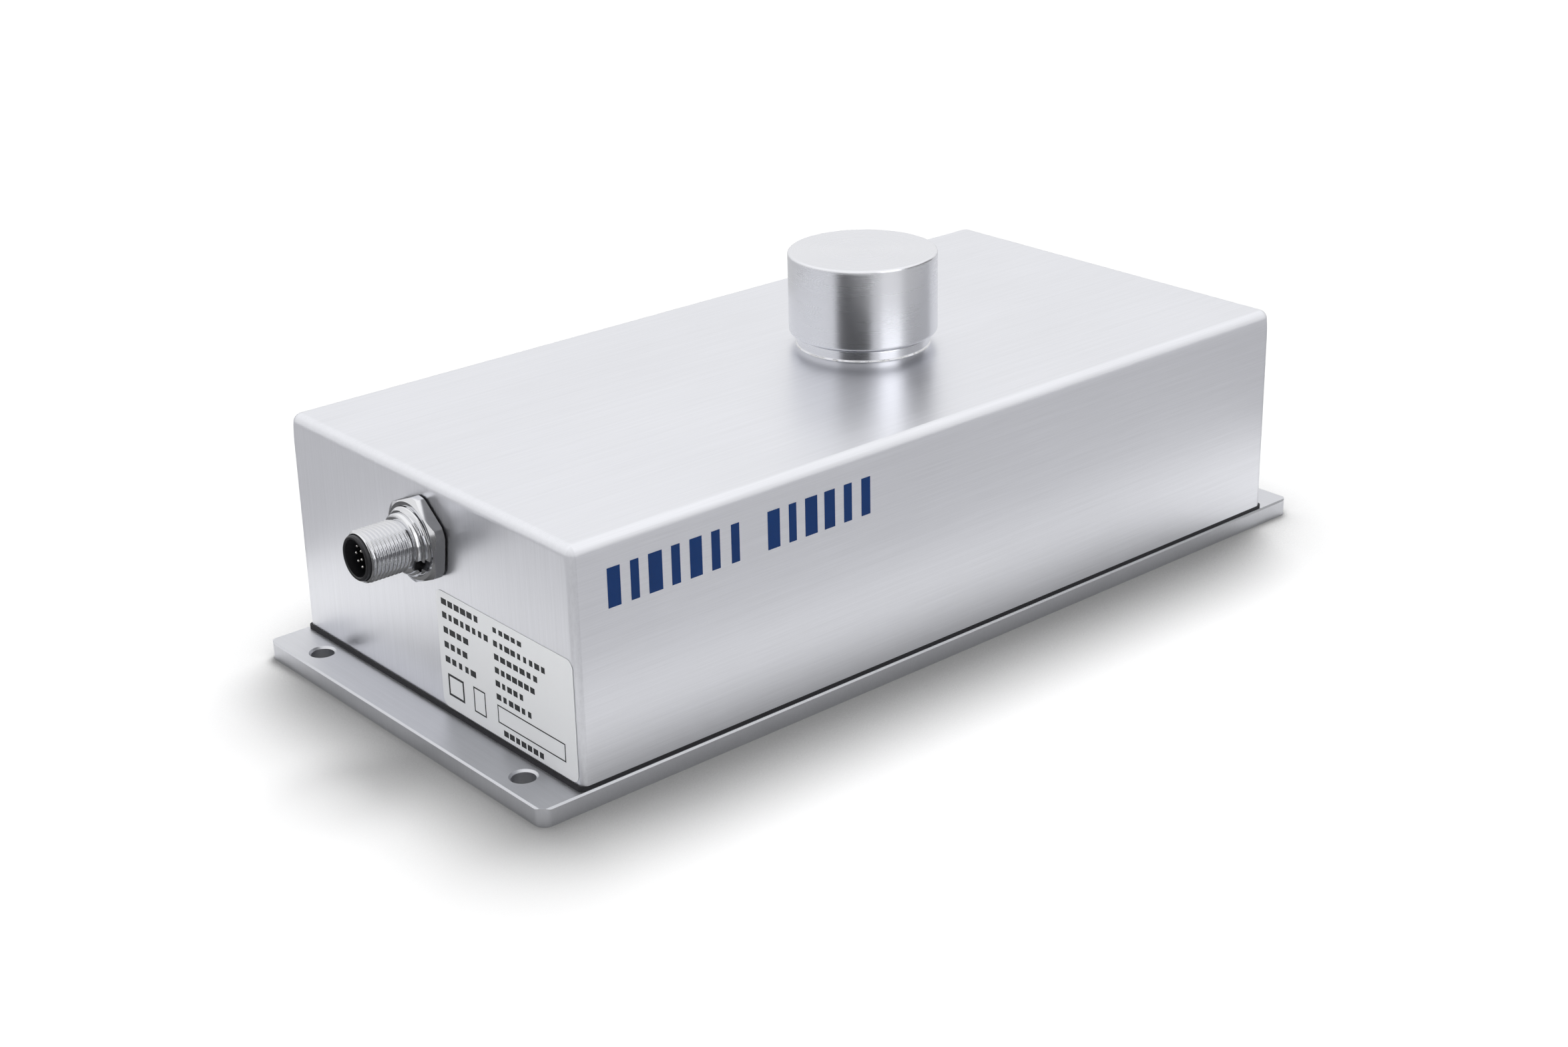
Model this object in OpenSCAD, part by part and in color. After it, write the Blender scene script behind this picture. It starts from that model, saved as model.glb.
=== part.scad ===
// Load cell weighing module: a force-compensating cell on a steel base plate,
// under a folded stainless cover, with a turned load pan and a round connector.
// X runs along the housing, the connector looks to -X, and +Z is up.
// The origin is the centre of the base plate's underside.

/* [Base plate] */
// Length of the base plate
plate_l = 246; // [238:1:300]
// Width of the base plate
plate_w = 112.4; // [112:0.2:150]
// Thickness of the base plate
plate_t = 4.4; // [3:0.2:8]
// Plan radius of the plate's corners
plate_corner_r = 2.8; // [1:0.2:5]
// Broken edge on the top of the plate
plate_break = 0.4; // [0.2:0.1:0.8]
// Distance of the mounting holes from the plate's ends
hole_inset = 6; // [5:0.5:7]
// Spacing of the mounting holes across the plate
hole_spacing_y = 82.5; // [60:0.5:100]
// Diameter of the mounting holes
hole_d = 5.5; // [3.4:0.1:6]
// Depth of the bevel at the mouth of each mounting hole
hole_bevel = 0.5; // [0.2:0.1:1]

/* [Cover] */
// Length of the cover
cover_l = 223.8; // [218:0.2:226]
// Width of the cover
cover_w = 111.2; // [110:0.2:112]
// Height of the cover's top above the plate's underside
cover_top = 59.8; // [58:0.2:80]
// Thickness of the cover's sheet
sheet_t = 1.5; // [1:0.1:1.6]
// Outer radius of the cover's bends
bend_r = 2.4; // [1.8:0.1:4]
// Outer radius of the cover's welded upright corners
seam_r = 1.2; // [0.6:0.1:2]
// Thickness of the rubber gasket under the cover
gasket_t = 1; // [0.6:0.1:2]
// Width of the rubber gasket's strip
gasket_w = 5; // [4:0.1:7]
// How far the gasket stands out at the cover's ends
gasket_proud = 0.5; // [0:0.1:1]
// Height of the tapped blocks inside the cover
block_h = 14; // [10:1:20]
// Length of the tapped blocks along the cover
block_l = 9; // [8:0.5:12]
// Depth of the tapped blocks from the cover's wall
block_w = 8; // [7.5:0.5:9]
// Clear distance of the end blocks from the cover's end walls
block_gap = 2.5; // [1:0.5:4]
// Diameter of the cover screws
cover_screw_d = 4; // [3:0.5:4]

/* [Load pan] */
// Position of the load axis along X from the plate's centre
load_x = 20; // [20:0.5:21]
// Diameter of the load pan
pan_d = 37.3; // [34:0.1:45]
// Height of the load pan
pan_h = 20.6; // [18:0.1:26]
// Edge radius of the pan's top
pan_top_r = 0.6; // [0.3:0.1:1]
// Edge radius of the pan's bottom
pan_bottom_r = 0.9; // [0.4:0.1:1.4]
// Diameter of the welded collar around the load opening
collar_d = 33.4; // [30:0.2:36]
// Height of the welded collar
collar_h = 2.6; // [2:0.1:4]
// Running gap between the collar and the pan
pan_gap = 0.5; // [0.4:0.1:1]
// Diameter of the load opening
load_bore_d = 16; // [14:0.2:18]
// Height of the collar's splash tube above the cover
splash_h = 11; // [8:0.5:13]
// Wall of the splash tube
splash_wall = 1.5; // [1:0.1:2]
// Clearance around the splash tube inside the pan
splash_gap = 3; // [1.5:0.1:4]
// Diameter of the pan's stem
stem_d = 10; // [8:0.2:11]
// Length of the cone that seats in the pan
cone_l = 12; // [9:0.5:13]
// Taper of that cone on its radius
cone_taper = 0.6; // [0.3:0.1:1]

/* [Connector] */
// Distance of the connector's axis from the plate's centre line
plug_y = 0; // [-10:0.2:10]
// Height of the connector's axis above the plate's underside
plug_z = 45.4; // [43:0.1:46]
// Diameter of the connector's mating thread
plug_d = 12; // [10:0.5:12]
// Length of the mating thread
plug_thread_l = 10; // [8:0.5:14]
// Diameter of the panel thread
panel_d = 16; // [15:0.5:16.5]
// Length of panel thread in front of the nut
panel_thread_l = 1.6; // [1:0.1:3]
// Diameter of the shoulder between the two threads
shoulder_d = 13.8; // [13:0.1:14.5]
// Length of that shoulder
shoulder_l = 1.1; // [0.8:0.1:2]
// Length of the relief groove behind the mating thread
relief_l = 0.4; // [0.3:0.1:0.8]
// Depth of the relief groove
relief_depth = 0.6; // [0.3:0.1:0.8]
// Width across the flats of the panel nut
nut_flats = 18.6; // [18:0.2:20]
// Diameter to which the nut's corners are turned
nut_turned_d = 20.4; // [19.5:0.1:21]
// Thickness of the panel nut
nut_t = 2.9; // [2:0.1:5]
// Turn of the panel nut about its axis
nut_turn = 52; // [0:1:60]
// Thickness of the seal under the panel nut
seal_t = 0.4; // [0.3:0.1:1]
// Diameter of the connector's inner flange
flange_d = 21; // [20:0.2:22]
// Thickness of the connector's inner flange
flange_t = 2; // [1.5:0.1:3]
// Outer diameter of the black insert
insert_d = 10.3; // [10:0.1:10.3]
// Wall of the insert around its socket
insert_wall = 0.9; // [0.6:0.1:1]
// How far the insert stands out of the shell
insert_proud = 1; // [0.5:0.1:1.5]
// Depth of the insert's socket
socket_depth = 7.2; // [6:0.2:8]
// Diameter of the contact pins
pin_d = 0.76; // [0.6:0.02:0.8]
// Length of the contact pins in the socket
pin_l = 5.4; // [4:0.1:5.6]
// Diameter of the outer ring of contacts
outer_pins_pcd = 5.5; // [5:0.1:5.6]
// Number of contacts in the outer ring
outer_pins = 9; // [8:1:9]
// Diameter of the inner ring of contacts
inner_pins_pcd = 2.3; // [2.1:0.1:2.5]
// Number of contacts in the inner ring
inner_pins = 3; // [3:1:3]

/* [Weigh cell] */
// Height of the spacers that carry the cell
spacer_h = 2; // [1:0.2:3]
// Thickness of the cell frame's floor
floor_t = 4; // [3:0.2:5]
// Width of the cell frame
cell_w = 54; // [52:1:60]
// Thickness of the frame's rear pillar
pillar_t = 13.7; // [10:0.1:14]
// Distance of the rear pillar's sides inside the cell frame's edges
pillar_inset = 5; // [4:0.5:7]
// Distance between the pillar and the hanger
guide_span = 44.3; // [40:0.1:44.3]
// Thickness of the parallel guides
guide_t = 3; // [2:0.2:4]
// Distance of the parallel guides' sides inside the cell frame's edges
guide_inset = 9; // [9:0.5:10]
// Thickness left at the guides' flexure necks
neck_t = 0.5; // [0.3:0.1:1]
// Gap at the clamped edges of the guides
clamp_gap = 0.3; // [0.2:0.05:0.4]
// Height between the two guides
guide_rise = 35; // [32:0.5:36]
// Length of the hanger along X
hanger_l = 12; // [10:0.5:13]
// Distance of the hanger's sides inside the guides' sides
hanger_inset = 3; // [2:0.5:4]
// Travel of the hanger each way
load_travel = 0.25; // [0.1:0.05:0.25]
// Length of the lever's short arm
short_arm = 8; // [7:0.1:9]
// Length of the lever's long arm to the coil
long_arm = 76; // [76:0.2:77]
// Height of the lever's beam
lever_h = 6; // [4:0.2:7]
// Width of the lever's beam
lever_w = 10; // [8:0.2:12]
// Thickness of the pivot strips
strip_t = 0.4; // [0.2:0.05:0.5]
// Clearance around the pivot strips
strip_gap = 0.4; // [0.3:0.05:0.5]
// Diameter of the travel stop pin
stop_pin_d = 6; // [4:0.2:7]

/* [Magnet and coil] */
// Diameter of the magnet yoke
yoke_d = 42; // [40:0.5:44]
// Height of the magnet yoke
yoke_h = 16; // [14:0.2:16]
// Wall of the magnet yoke
yoke_wall = 5; // [4:0.1:5.5]
// Thickness of the yoke's floor
yoke_floor = 4; // [3:0.2:5]
// Thickness of the magnet
magnet_t = 6; // [4:0.2:7]
// Diameter of the magnet
magnet_d = 24; // [20:0.5:25]
// Diameter of the pole piece
pole_d = 25.6; // [24:0.1:26]
// Free space between the pole piece and the coil former
coil_gap = 0.9; // [0.8:0.05:1]
// Wall of the coil former
former_wall = 0.5; // [0.3:0.05:0.6]
// Radial thickness of the winding
winding_t = 1; // [0.6:0.05:1]
// Height of the winding
winding_h = 6; // [4:0.2:7]

/* [Adjustment weight] */
// Distance of the weight from the load axis
weight_reach = 30; // [28:0.5:32]
// Diameter of the adjustment weight
weight_d = 16; // [12:0.5:17]
// Distance of the adjustment weight's ends inside the hanger's sides
weight_inset = 4; // [4:0.5:7]
// Diameter of the weight's journals
journal_d = 4; // [3:0.2:5]
// Travel of the weight's lift
lift_travel = 2.5; // [1.5:0.1:2.5]
// Diameter of the lift's spindle
spindle_d = 5; // [4:0.2:6]
// Diameter of the lift's motor
motor_d = 14; // [12:0.5:15]
// Height of the lift's motor
motor_h = 7; // [5:0.5:9]
// Diameter of the lift's guide rods
rod_d = 3; // [2:0.2:3.4]

/* [Electronics] */
// Length of the main board along X
board_l = 33; // [28:1:34]
// Clearance between the main board and the tapped blocks
board_gap = 0.5; // [0.2:0.1:3]
// Thickness of the boards
board_t = 1.6; // [1:0.1:2]
// Height of the main board's standoffs
standoff_h = 12; // [8:0.5:14]
// Thickness of the ribbon lead
ribbon_t = 0.8; // [0.5:0.1:1]
// Width of the ribbon lead
ribbon_w = 10; // [8:0.5:11]

/* [Label] */
// Length of the label on the connector end
label_l = 50.9; // [40:0.1:52]
// Height of the label
label_h = 28.6; // [20:0.1:30]
// Thickness of the label
label_t = 0.12; // [0.1:0.02:0.2]
// Distance of the label from the cover's near side
label_inset = 1.2; // [0.8:0.1:4]
// Height of the label's lower edge above the gasket
label_rise = 0.4; // [0.2:0.1:4]

/* [Hidden] */
$fn = 64;
cut = 1;
fit = 0.05;

// Levels and walls of the housing
cover_foot = plate_t + gasket_t;
wall_x = cover_l / 2 - sheet_t;
wall_y = cover_w / 2 - sheet_t;
face_x = -cover_l / 2;
hole_x = plate_l / 2 - hole_inset;
block_x = wall_x - block_gap - block_l / 2;
block_y = wall_y - block_w / 2;
screw_head_r = cover_screw_d;
screw_head_h = cover_screw_d / 2;
cover_screw_sites = [for (x = [-1, 0, 1], y = [-1, 1]) [x * block_x, y * block_y]];

// Load pan and its seat
collar_top = cover_top + collar_h;
pan_foot = collar_top + pan_gap;
pan_top = pan_foot + pan_h;
splash_top = cover_top + splash_h;
cavity_r = load_bore_d / 2 + splash_wall + splash_gap;
cavity_top = splash_top + splash_gap;
cone_foot = splash_top - 4;
cone_top = cone_foot + cone_l;
cone_clear = 1;

// Connector stations, measured out of the cover's end face
nut_out = seal_t + nut_t;
panel_out = nut_out + panel_thread_l;
shoulder_out = panel_out + shoulder_l;
relief_out = shoulder_out + relief_l;
shell_out = relief_out + plug_thread_l;
insert_out = shell_out + insert_proud;
socket_floor = insert_out - socket_depth;
shell_back = -sheet_t - flange_t - 3.4;

// Weigh cell
frame_foot = plate_t + spacer_h;
floor_top = frame_foot + floor_t;
lower_z = floor_top + 1 + guide_t / 2;
upper_z = lower_z + guide_rise;
guide_w = cell_w - 2 * guide_inset;
pillar_w = cell_w - 2 * pillar_inset;
hanger_w = guide_w - 2 * hanger_inset;
hanger_x0 = load_x - hanger_l / 2;
pillar_x1 = hanger_x0 - guide_span;
pillar_x0 = pillar_x1 - pillar_t;
pillar_top = upper_z + guide_t / 2 + 1;
hanger_foot = lower_z - guide_t / 2;
hanger_top = upper_z + guide_t / 2 + 4.4;
strip_x = hanger_x0 - 2;
pivot_x = strip_x - short_arm;
pivot_z = floor_top + 19.6;
lever_foot = pivot_z + 1;
lever_top = lever_foot + lever_h;
nose_x = strip_x + strip_t / 2 + strip_gap + 0.5;
coil_x = pivot_x - long_arm;
coil_pad_d = 20;
vane_l = 8;
vane_t = 0.5;
lever_x0 = coil_x - coil_pad_d;
vane_x0 = lever_x0 - vane_l;
sensor_l = 6;
sensor_x = vane_x0 + 1;
floor_x0 = sensor_x - sensor_l / 2 - 1;
floor_x1 = load_x + 10;
post_l = 7;
post_w = 14;
post_top = pivot_z - 1.5;
window_w = lever_w + 6;
stop_y0 = guide_w / 2 - 1;
stop_t = 4;
stop_z = floor_top + 19.6;
stop_gap = load_travel + 0.1;
cell_screw_d = 4;
cell_screw_head_d = 7;
cell_screw_head_h = 4;
cell_screw_y = cell_w / 2 - 4.5;
cell_screw_sites = [for (x = [floor_x0 + 10, pivot_x + 4], y = [-1, 1]) [x, y * cell_screw_y]];

// Coil
former_r = pole_d / 2 + coil_gap;
winding_r = former_r + former_wall;
pole_z = floor_top + yoke_floor + magnet_t;
pole_h = yoke_h - yoke_floor - magnet_t - 0.4;
winding_foot = pole_z - 0.4;

// Adjustment weight and its lift
weight_l = hanger_w - 2 * weight_inset;
weight_x = load_x + weight_reach;
weight_z = floor_top + 22.6;
arm_y = weight_l / 2 + 1;
arm_t = 2;
arm_h = 4;
seat_gap = load_travel + 0.15;
arm_top = weight_z - journal_d / 2 - lift_travel - seat_gap + 1.2;
fork_y = arm_y + arm_t + 1.4;
fork_t = 2;
journal_l = 2 * (fork_y + fork_t + 0.6);
hub_x = weight_x + weight_d / 2 + 5;
cradle_z = arm_top - arm_h - 8;
cradle_t = 4;
running_gap = 0.3;
spindle_foot = plate_t + motor_h + running_gap;
bracket_z = weight_z + 10;
bracket_t = 2;
bracket_x = hub_x + motor_d / 2 + 1;
bracket_w = 28;
rod_y = motor_d / 2 + rod_d / 2 + 0.5;

// Electronics
board_w = 2 * (wall_y - block_w - board_gap);
board_x = wall_x - board_l / 2 - 3;
board_z = plate_t + standoff_h;
standoff_d = 5;
board_screw_d = 3;
standoff_y = board_w * 0.37;
standoff_sites = [for (x = [-1, 1], y = [-1, 1]) [board_x + x * (board_l / 2 - 4), y * standoff_y]];
chip_w = board_w * 0.13;
chip_l = board_l * 0.36;
small_w = board_w * 0.065;
small_pitch = board_w * 0.09;
capacitor_d = board_l * 0.18;
can_w = board_w * 0.14;
can_l = board_l * 0.56;
can_y = board_w * 0.275;
can_h = 5;
can_t = 0.3;
plug_board_x = face_x - shell_back + 0.4;
plug_board_w = 34;
plug_board_z0 = board_z + 4;
plug_board_z1 = plug_z + 10;
ribbon_y = -wall_y + block_w + 3;
ribbon_z = board_z + board_t + 3;
ribbon_route = [
    [plug_board_x + board_t, -15], [plug_board_x + 6, -22], [plug_board_x + 12, ribbon_y],
    [board_x - board_l / 2 + 6, ribbon_y]
];
clip_sites = [-70, -20, 40];

// Shapes that several pieces share

module rounded_rect(l, w, r) {
    square([l - 2 * r, w], center = true);
    square([l, w - 2 * r], center = true);
    for (x = [-1, 1], y = [-1, 1])
        translate([x * (l / 2 - r), y * (w / 2 - r)]) circle(r);
}

// A cross-section with both upper corners rounded
module bent_profile(w, h, r) {
    translate([-w / 2, 0]) square([w, h - r]);
    translate([-w / 2 + r, 0]) square([w - 2 * r, h]);
    for (x = [-1, 1])
        translate([x * (w / 2 - r), h - r]) circle(r);
}

// A box folded from sheet: two bends cross in mitres over upright corners
module folded_box(l, w, h, r, corner_r) {
    intersection() {
        linear_extrude(h) rounded_rect(l, w, corner_r);
        translate([0, w, 0]) rotate([90, 0, 0]) linear_extrude(2 * w) bent_profile(l, h, r);
        translate([-l, 0, 0]) rotate([90, 0, 90]) linear_extrude(2 * l) bent_profile(w, h, r);
    }
}

module beveled_profile(w, h, b) {
    polygon([[-w / 2, 0], [w / 2, 0], [w / 2, h - b], [w / 2 - b, h], [-w / 2 + b, h], [-w / 2, h - b]]);
}

module beveled_plate(l, w, h, corner_r, b) {
    intersection() {
        linear_extrude(h) rounded_rect(l, w, corner_r);
        translate([0, w, 0]) rotate([90, 0, 0]) linear_extrude(2 * w) beveled_profile(l, h, b);
        translate([-l, 0, 0]) rotate([90, 0, 90]) linear_extrude(2 * l) beveled_profile(w, h, b);
    }
}

// Places children on the connector's axis, at a distance out of the end face and pointing outwards
module on_plug(out) {
    translate([face_x - out, plug_y, plug_z]) rotate([0, -90, 0]) children();
}

module box_at(x0, x1, w, z0, z1) {
    translate([x0, -w / 2, z0]) cube([x1 - x0, w, z1 - z0]);
}

module both_sides() {
    children();
    mirror([0, 1, 0]) children();
}

module socket_screw(d, l, head_d, head_h) {
    difference() {
        cylinder(h = head_h, d = head_d);
        translate([0, 0, head_h / 2]) cylinder(h = head_h, d = d * 0.85, $fn = 6);
    }
    translate([0, 0, -l]) cylinder(h = l, d = d);
}

module flat_screw(d, l) {
    difference() {
        cylinder(h = d / 2, r1 = d, r2 = d / 2);
        translate([0, 0, -cut]) cylinder(h = cut + d / 4, d = d * 0.7, $fn = 6);
    }
    cylinder(h = l, d = d);
}

// Housing

module base_plate() {
    color("#c8cbd0") difference() {
        beveled_plate(plate_l, plate_w, plate_t, plate_corner_r, plate_break);
        for (x = [-1, 1], y = [-1, 1])
            translate([x * hole_x, y * hole_spacing_y / 2, 0]) {
                translate([0, 0, -cut]) cylinder(h = plate_t + 2 * cut, d = hole_d);
                translate([0, 0, plate_t - hole_bevel])
                    cylinder(h = hole_bevel + fit, d1 = hole_d, d2 = hole_d + 2 * (hole_bevel + fit));
            }
        for (p = cover_screw_sites)
            translate([p[0], p[1], 0]) {
                translate([0, 0, -cut]) cylinder(h = plate_t + 2 * cut, d = cover_screw_d + 2 * fit);
                translate([0, 0, -fit])
                    cylinder(h = screw_head_h + fit, r1 = screw_head_r + 2 * fit, r2 = cover_screw_d / 2 + fit);
            }
        for (p = cell_screw_sites)
            translate([p[0], p[1], -cut]) cylinder(h = plate_t + 2 * cut, d = cell_screw_d + 2 * fit);
    }
}

module base_gasket() {
    pad_w = cover_w / 2 - wall_y + block_w;
    color("#17181a") translate([0, 0, plate_t]) difference() {
        union() {
            linear_extrude(gasket_t) difference() {
                rounded_rect(cover_l + 2 * gasket_proud, cover_w, seam_r);
                rounded_rect(cover_l - 2 * gasket_w, cover_w - 2 * gasket_w, 3);
            }
            for (x = [-1, 0, 1], y = [-1, 1])
                translate([x * block_x, y * (cover_w / 2 - pad_w / 2 - seam_r / 2), gasket_t / 2])
                    cube([block_l + 2, pad_w - seam_r, gasket_t], center = true);
        }
        for (p = cover_screw_sites)
            translate([p[0], p[1], -cut]) cylinder(h = gasket_t + 2 * cut, d = cover_screw_d + 2 * fit);
    }
}

module cover() {
    color("#d3d6da") translate([0, 0, cover_foot]) difference() {
        folded_box(cover_l, cover_w, cover_top - cover_foot, bend_r, seam_r);
        translate([0, 0, -cut])
            folded_box(2 * wall_x, 2 * wall_y, cover_top - cover_foot - sheet_t + cut, bend_r - sheet_t, 0.3);
        translate([load_x, 0, 0]) cylinder(h = 2 * cover_top, d = load_bore_d);
        translate([-cover_l / 2 - cut, plug_y, plug_z - cover_foot]) rotate([0, 90, 0])
            cylinder(h = sheet_t + 3 * cut, d = panel_d + 2 * fit);
    }
}

module cover_blocks() {
    color("#b9bcc1") difference() {
        for (p = cover_screw_sites)
            translate([p[0] - block_l / 2, p[1] - block_w / 2, cover_foot]) cube([block_l, block_w, block_h]);
        for (p = cover_screw_sites)
            translate([p[0], p[1], cover_foot - cut]) cylinder(h = block_h - 3, d = cover_screw_d + 2 * fit);
    }
}

module cover_screws() {
    color("#9fa3a8") for (p = cover_screw_sites)
        translate([p[0], p[1], 0]) flat_screw(cover_screw_d, cover_foot + block_h - 6);
}

module load_collar() {
    bore = load_bore_d / 2;
    outer = collar_d / 2;
    color("#d9dbde") translate([load_x, 0, cover_top]) rotate_extrude() polygon([
        [bore, 0], [outer + 0.3, 0], [outer, 0.4], [outer, collar_h - 0.4], [outer - 0.4, collar_h],
        [bore + splash_wall, collar_h], [bore + splash_wall, splash_h - 0.3],
        [bore + splash_wall - 0.3, splash_h], [bore, splash_h]
    ]);
}

// A turned cup, hollow around the splash tube, with a tapered socket in its hub
module load_pan() {
    r = pan_d / 2;
    inner = stem_d / 2;
    hub = inner + 2;
    color("#d7d9dc") translate([load_x, 0, 0]) rotate_extrude() difference() {
        union() {
            translate([0, pan_foot + pan_bottom_r]) square([r, pan_h - pan_bottom_r - pan_top_r]);
            translate([0, pan_foot]) square([r - pan_bottom_r, pan_bottom_r]);
            translate([0, pan_top - pan_top_r]) square([r - pan_top_r, pan_top_r]);
            translate([r - pan_bottom_r, pan_foot + pan_bottom_r]) circle(pan_bottom_r);
            translate([r - pan_top_r, pan_top - pan_top_r]) circle(pan_top_r);
        }
        translate([hub, pan_foot - cut]) square([cavity_r - hub, cavity_top - pan_foot + cut]);
        translate([-cut, pan_foot - cut]) square([hub + 2 * cut, cone_foot - pan_foot + cut]);
        polygon([
            [-cut, cone_foot - cut], [inner, cone_foot - cut], [inner, cone_foot],
            [inner - cone_taper, cone_foot + cone_l], [-cut, cone_foot + cone_l]
        ]);
    }
}

module pan_stem() {
    r = stem_d / 2 - fit;
    collar_r = stem_d / 2 + 1;
    color("#b4b7bc") translate([load_x, 0, 0]) rotate_extrude() polygon([
        [0, hanger_top], [collar_r, hanger_top], [collar_r, hanger_top + 1.6], [r, hanger_top + 2.2],
        [r, cone_foot], [r - cone_taper, cone_foot + cone_l], [r - cone_taper, cone_foot + cone_l - cone_clear],
        [0, cone_foot + cone_l - cone_clear]
    ]);
}

// Connector

// The shell's outline is turned, and its keyway milled along the panel thread
module connector_shell() {
    bore = insert_d / 2 + fit;
    thread = plug_d / 2;
    shoulder = shoulder_d / 2;
    panel = panel_d / 2;
    edge = 0.5;
    key_w = 3.2;
    key_r = thread - 0.2;
    color("#c9ccd1") on_plug(0) difference() {
        rotate_extrude() polygon([
            [bore, shell_back], [panel, shell_back], [panel, -sheet_t - flange_t],
            [flange_d / 2 - 0.3, -sheet_t - flange_t], [flange_d / 2, -sheet_t - flange_t + 0.3],
            [flange_d / 2, -sheet_t], [panel, -sheet_t], [panel, panel_out - edge], [panel - edge, panel_out],
            [shoulder, panel_out], [shoulder, shoulder_out - 0.2], [shoulder - 0.2, shoulder_out],
            [thread - relief_depth, shoulder_out], [thread - relief_depth, relief_out], [thread, relief_out + edge],
            [thread, shell_out - edge], [thread - edge, shell_out], [bore, shell_out]
        ]);
        rotate([0, 0, -121]) translate([key_r, -key_w / 2, nut_out - 1.6])
            cube([panel, key_w, shoulder_out - nut_out + 1.6 + cut]);
    }
}

// A hexagon nut whose corners are turned down and both faces beveled
module connector_nut() {
    r = nut_turned_d / 2;
    bevel = (nut_turned_d - nut_flats) / 2 + 0.3;
    rise = bevel * 0.5;
    color("#c3c6cb") on_plug(seal_t) intersection() {
        difference() {
            rotate([0, 0, nut_turn]) cylinder(h = nut_t, d = nut_flats / cos(30), $fn = 6);
            translate([0, 0, -cut]) cylinder(h = nut_t + 2 * cut, d = panel_d + 2 * fit);
        }
        rotate_extrude() polygon([
            [0, 0], [r - bevel, 0], [r, rise], [r, nut_t - rise], [r - bevel, nut_t], [0, nut_t]
        ]);
    }
}

module connector_seal() {
    color("#141416") on_plug(0) difference() {
        cylinder(h = seal_t, d = nut_flats + 0.6);
        translate([0, 0, -cut]) cylinder(h = seal_t + 2 * cut, d = panel_d + 2 * fit);
    }
}

function pin_sites() = concat(
    [for (i = [0 : outer_pins - 1]) let (a = 360 / outer_pins * (i + 0.5) - 90)
        [outer_pins_pcd / 2 * cos(a), outer_pins_pcd / 2 * sin(a)]],
    [for (i = [0 : inner_pins - 1]) let (a = 360 / inner_pins * i - 90)
        [inner_pins_pcd / 2 * cos(a), inner_pins_pcd / 2 * sin(a)]]
);

module connector_insert() {
    r = insert_d / 2;
    socket_r = r - insert_wall;
    foot = shell_back + 0.6;
    color("#1a1b1d") on_plug(0) {
        difference() {
            rotate_extrude() polygon([
                [0, foot], [r, foot], [r, insert_out - 0.3], [r - 0.3, insert_out],
                [socket_r + 0.2, insert_out], [socket_r, insert_out - 0.2], [socket_r, socket_floor], [0, socket_floor]
            ]);
            for (p = pin_sites())
                translate([p[0], p[1], foot - cut]) cylinder(h = socket_floor - foot + 2 * cut, d = pin_d + 2 * fit);
        }
        intersection() {
            translate([0, -socket_r, socket_floor]) cylinder(h = socket_depth - 0.6, r = 0.6);
            translate([0, 0, socket_floor]) cylinder(h = socket_depth, r = socket_r + fit);
        }
    }
}

module contact_pins() {
    foot = shell_back - 0.4;
    tip = socket_floor + pin_l;
    color("#d8b56a") on_plug(0) for (p = pin_sites())
        translate([p[0], p[1], foot]) {
            cylinder(h = tip - foot - pin_d / 2, d = pin_d, $fn = 16);
            translate([0, 0, tip - foot - pin_d / 2]) sphere(d = pin_d, $fn = 16);
        }
}

module connector_board() {
    color("#1f6b45") translate([plug_board_x, -plug_board_w / 2 - 1, plug_board_z0])
        cube([board_t, plug_board_w, plug_board_z1 - plug_board_z0]);
}

// The ribbon stands on edge, and its outline follows the route
module signal_ribbon() {
    shift = [0, ribbon_t / 2];
    far = len(ribbon_route) - 1;
    color("#9aa0a6") translate([0, 0, ribbon_z]) linear_extrude(ribbon_w) polygon(concat(
        [for (p = ribbon_route) p + shift],
        [for (i = [far : -1 : 0]) ribbon_route[i] - shift]
    ));
}

module ribbon_clips() {
    l = 5;
    w = 5;
    grip = 3;
    color("#e6e6e0") for (x = clip_sites)
        translate([x, ribbon_y, plate_t]) difference() {
            translate([-l / 2, -w / 2, 0]) cube([l, w, ribbon_z + grip - plate_t]);
            translate([-l, -ribbon_t / 2 - fit, ribbon_z - plate_t - fit]) cube([2 * l, ribbon_t + 2 * fit, grip + cut]);
        }
}

module rating_label() {
    color("#e9eaec") translate([face_x, -cover_w / 2 + label_inset + label_l / 2, cover_foot + label_rise + label_h / 2])
        rotate([0, -90, 0]) linear_extrude(label_t) rounded_rect(label_h, label_l, 2);
}

// Cell frame and its fasteners

module cell_spacers() {
    color("#a8abb0") for (p = cell_screw_sites)
        translate([p[0], p[1], plate_t]) difference() {
            cylinder(h = spacer_h, d = cell_screw_head_d + 1);
            translate([0, 0, -cut]) cylinder(h = spacer_h + 2 * cut, d = cell_screw_d + 2 * fit);
        }
}

module cell_screws() {
    color("#55585c") for (p = cell_screw_sites)
        translate([p[0], p[1], floor_top])
            socket_screw(cell_screw_d, floor_top - 0.6, cell_screw_head_d, cell_screw_head_h);
}

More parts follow.
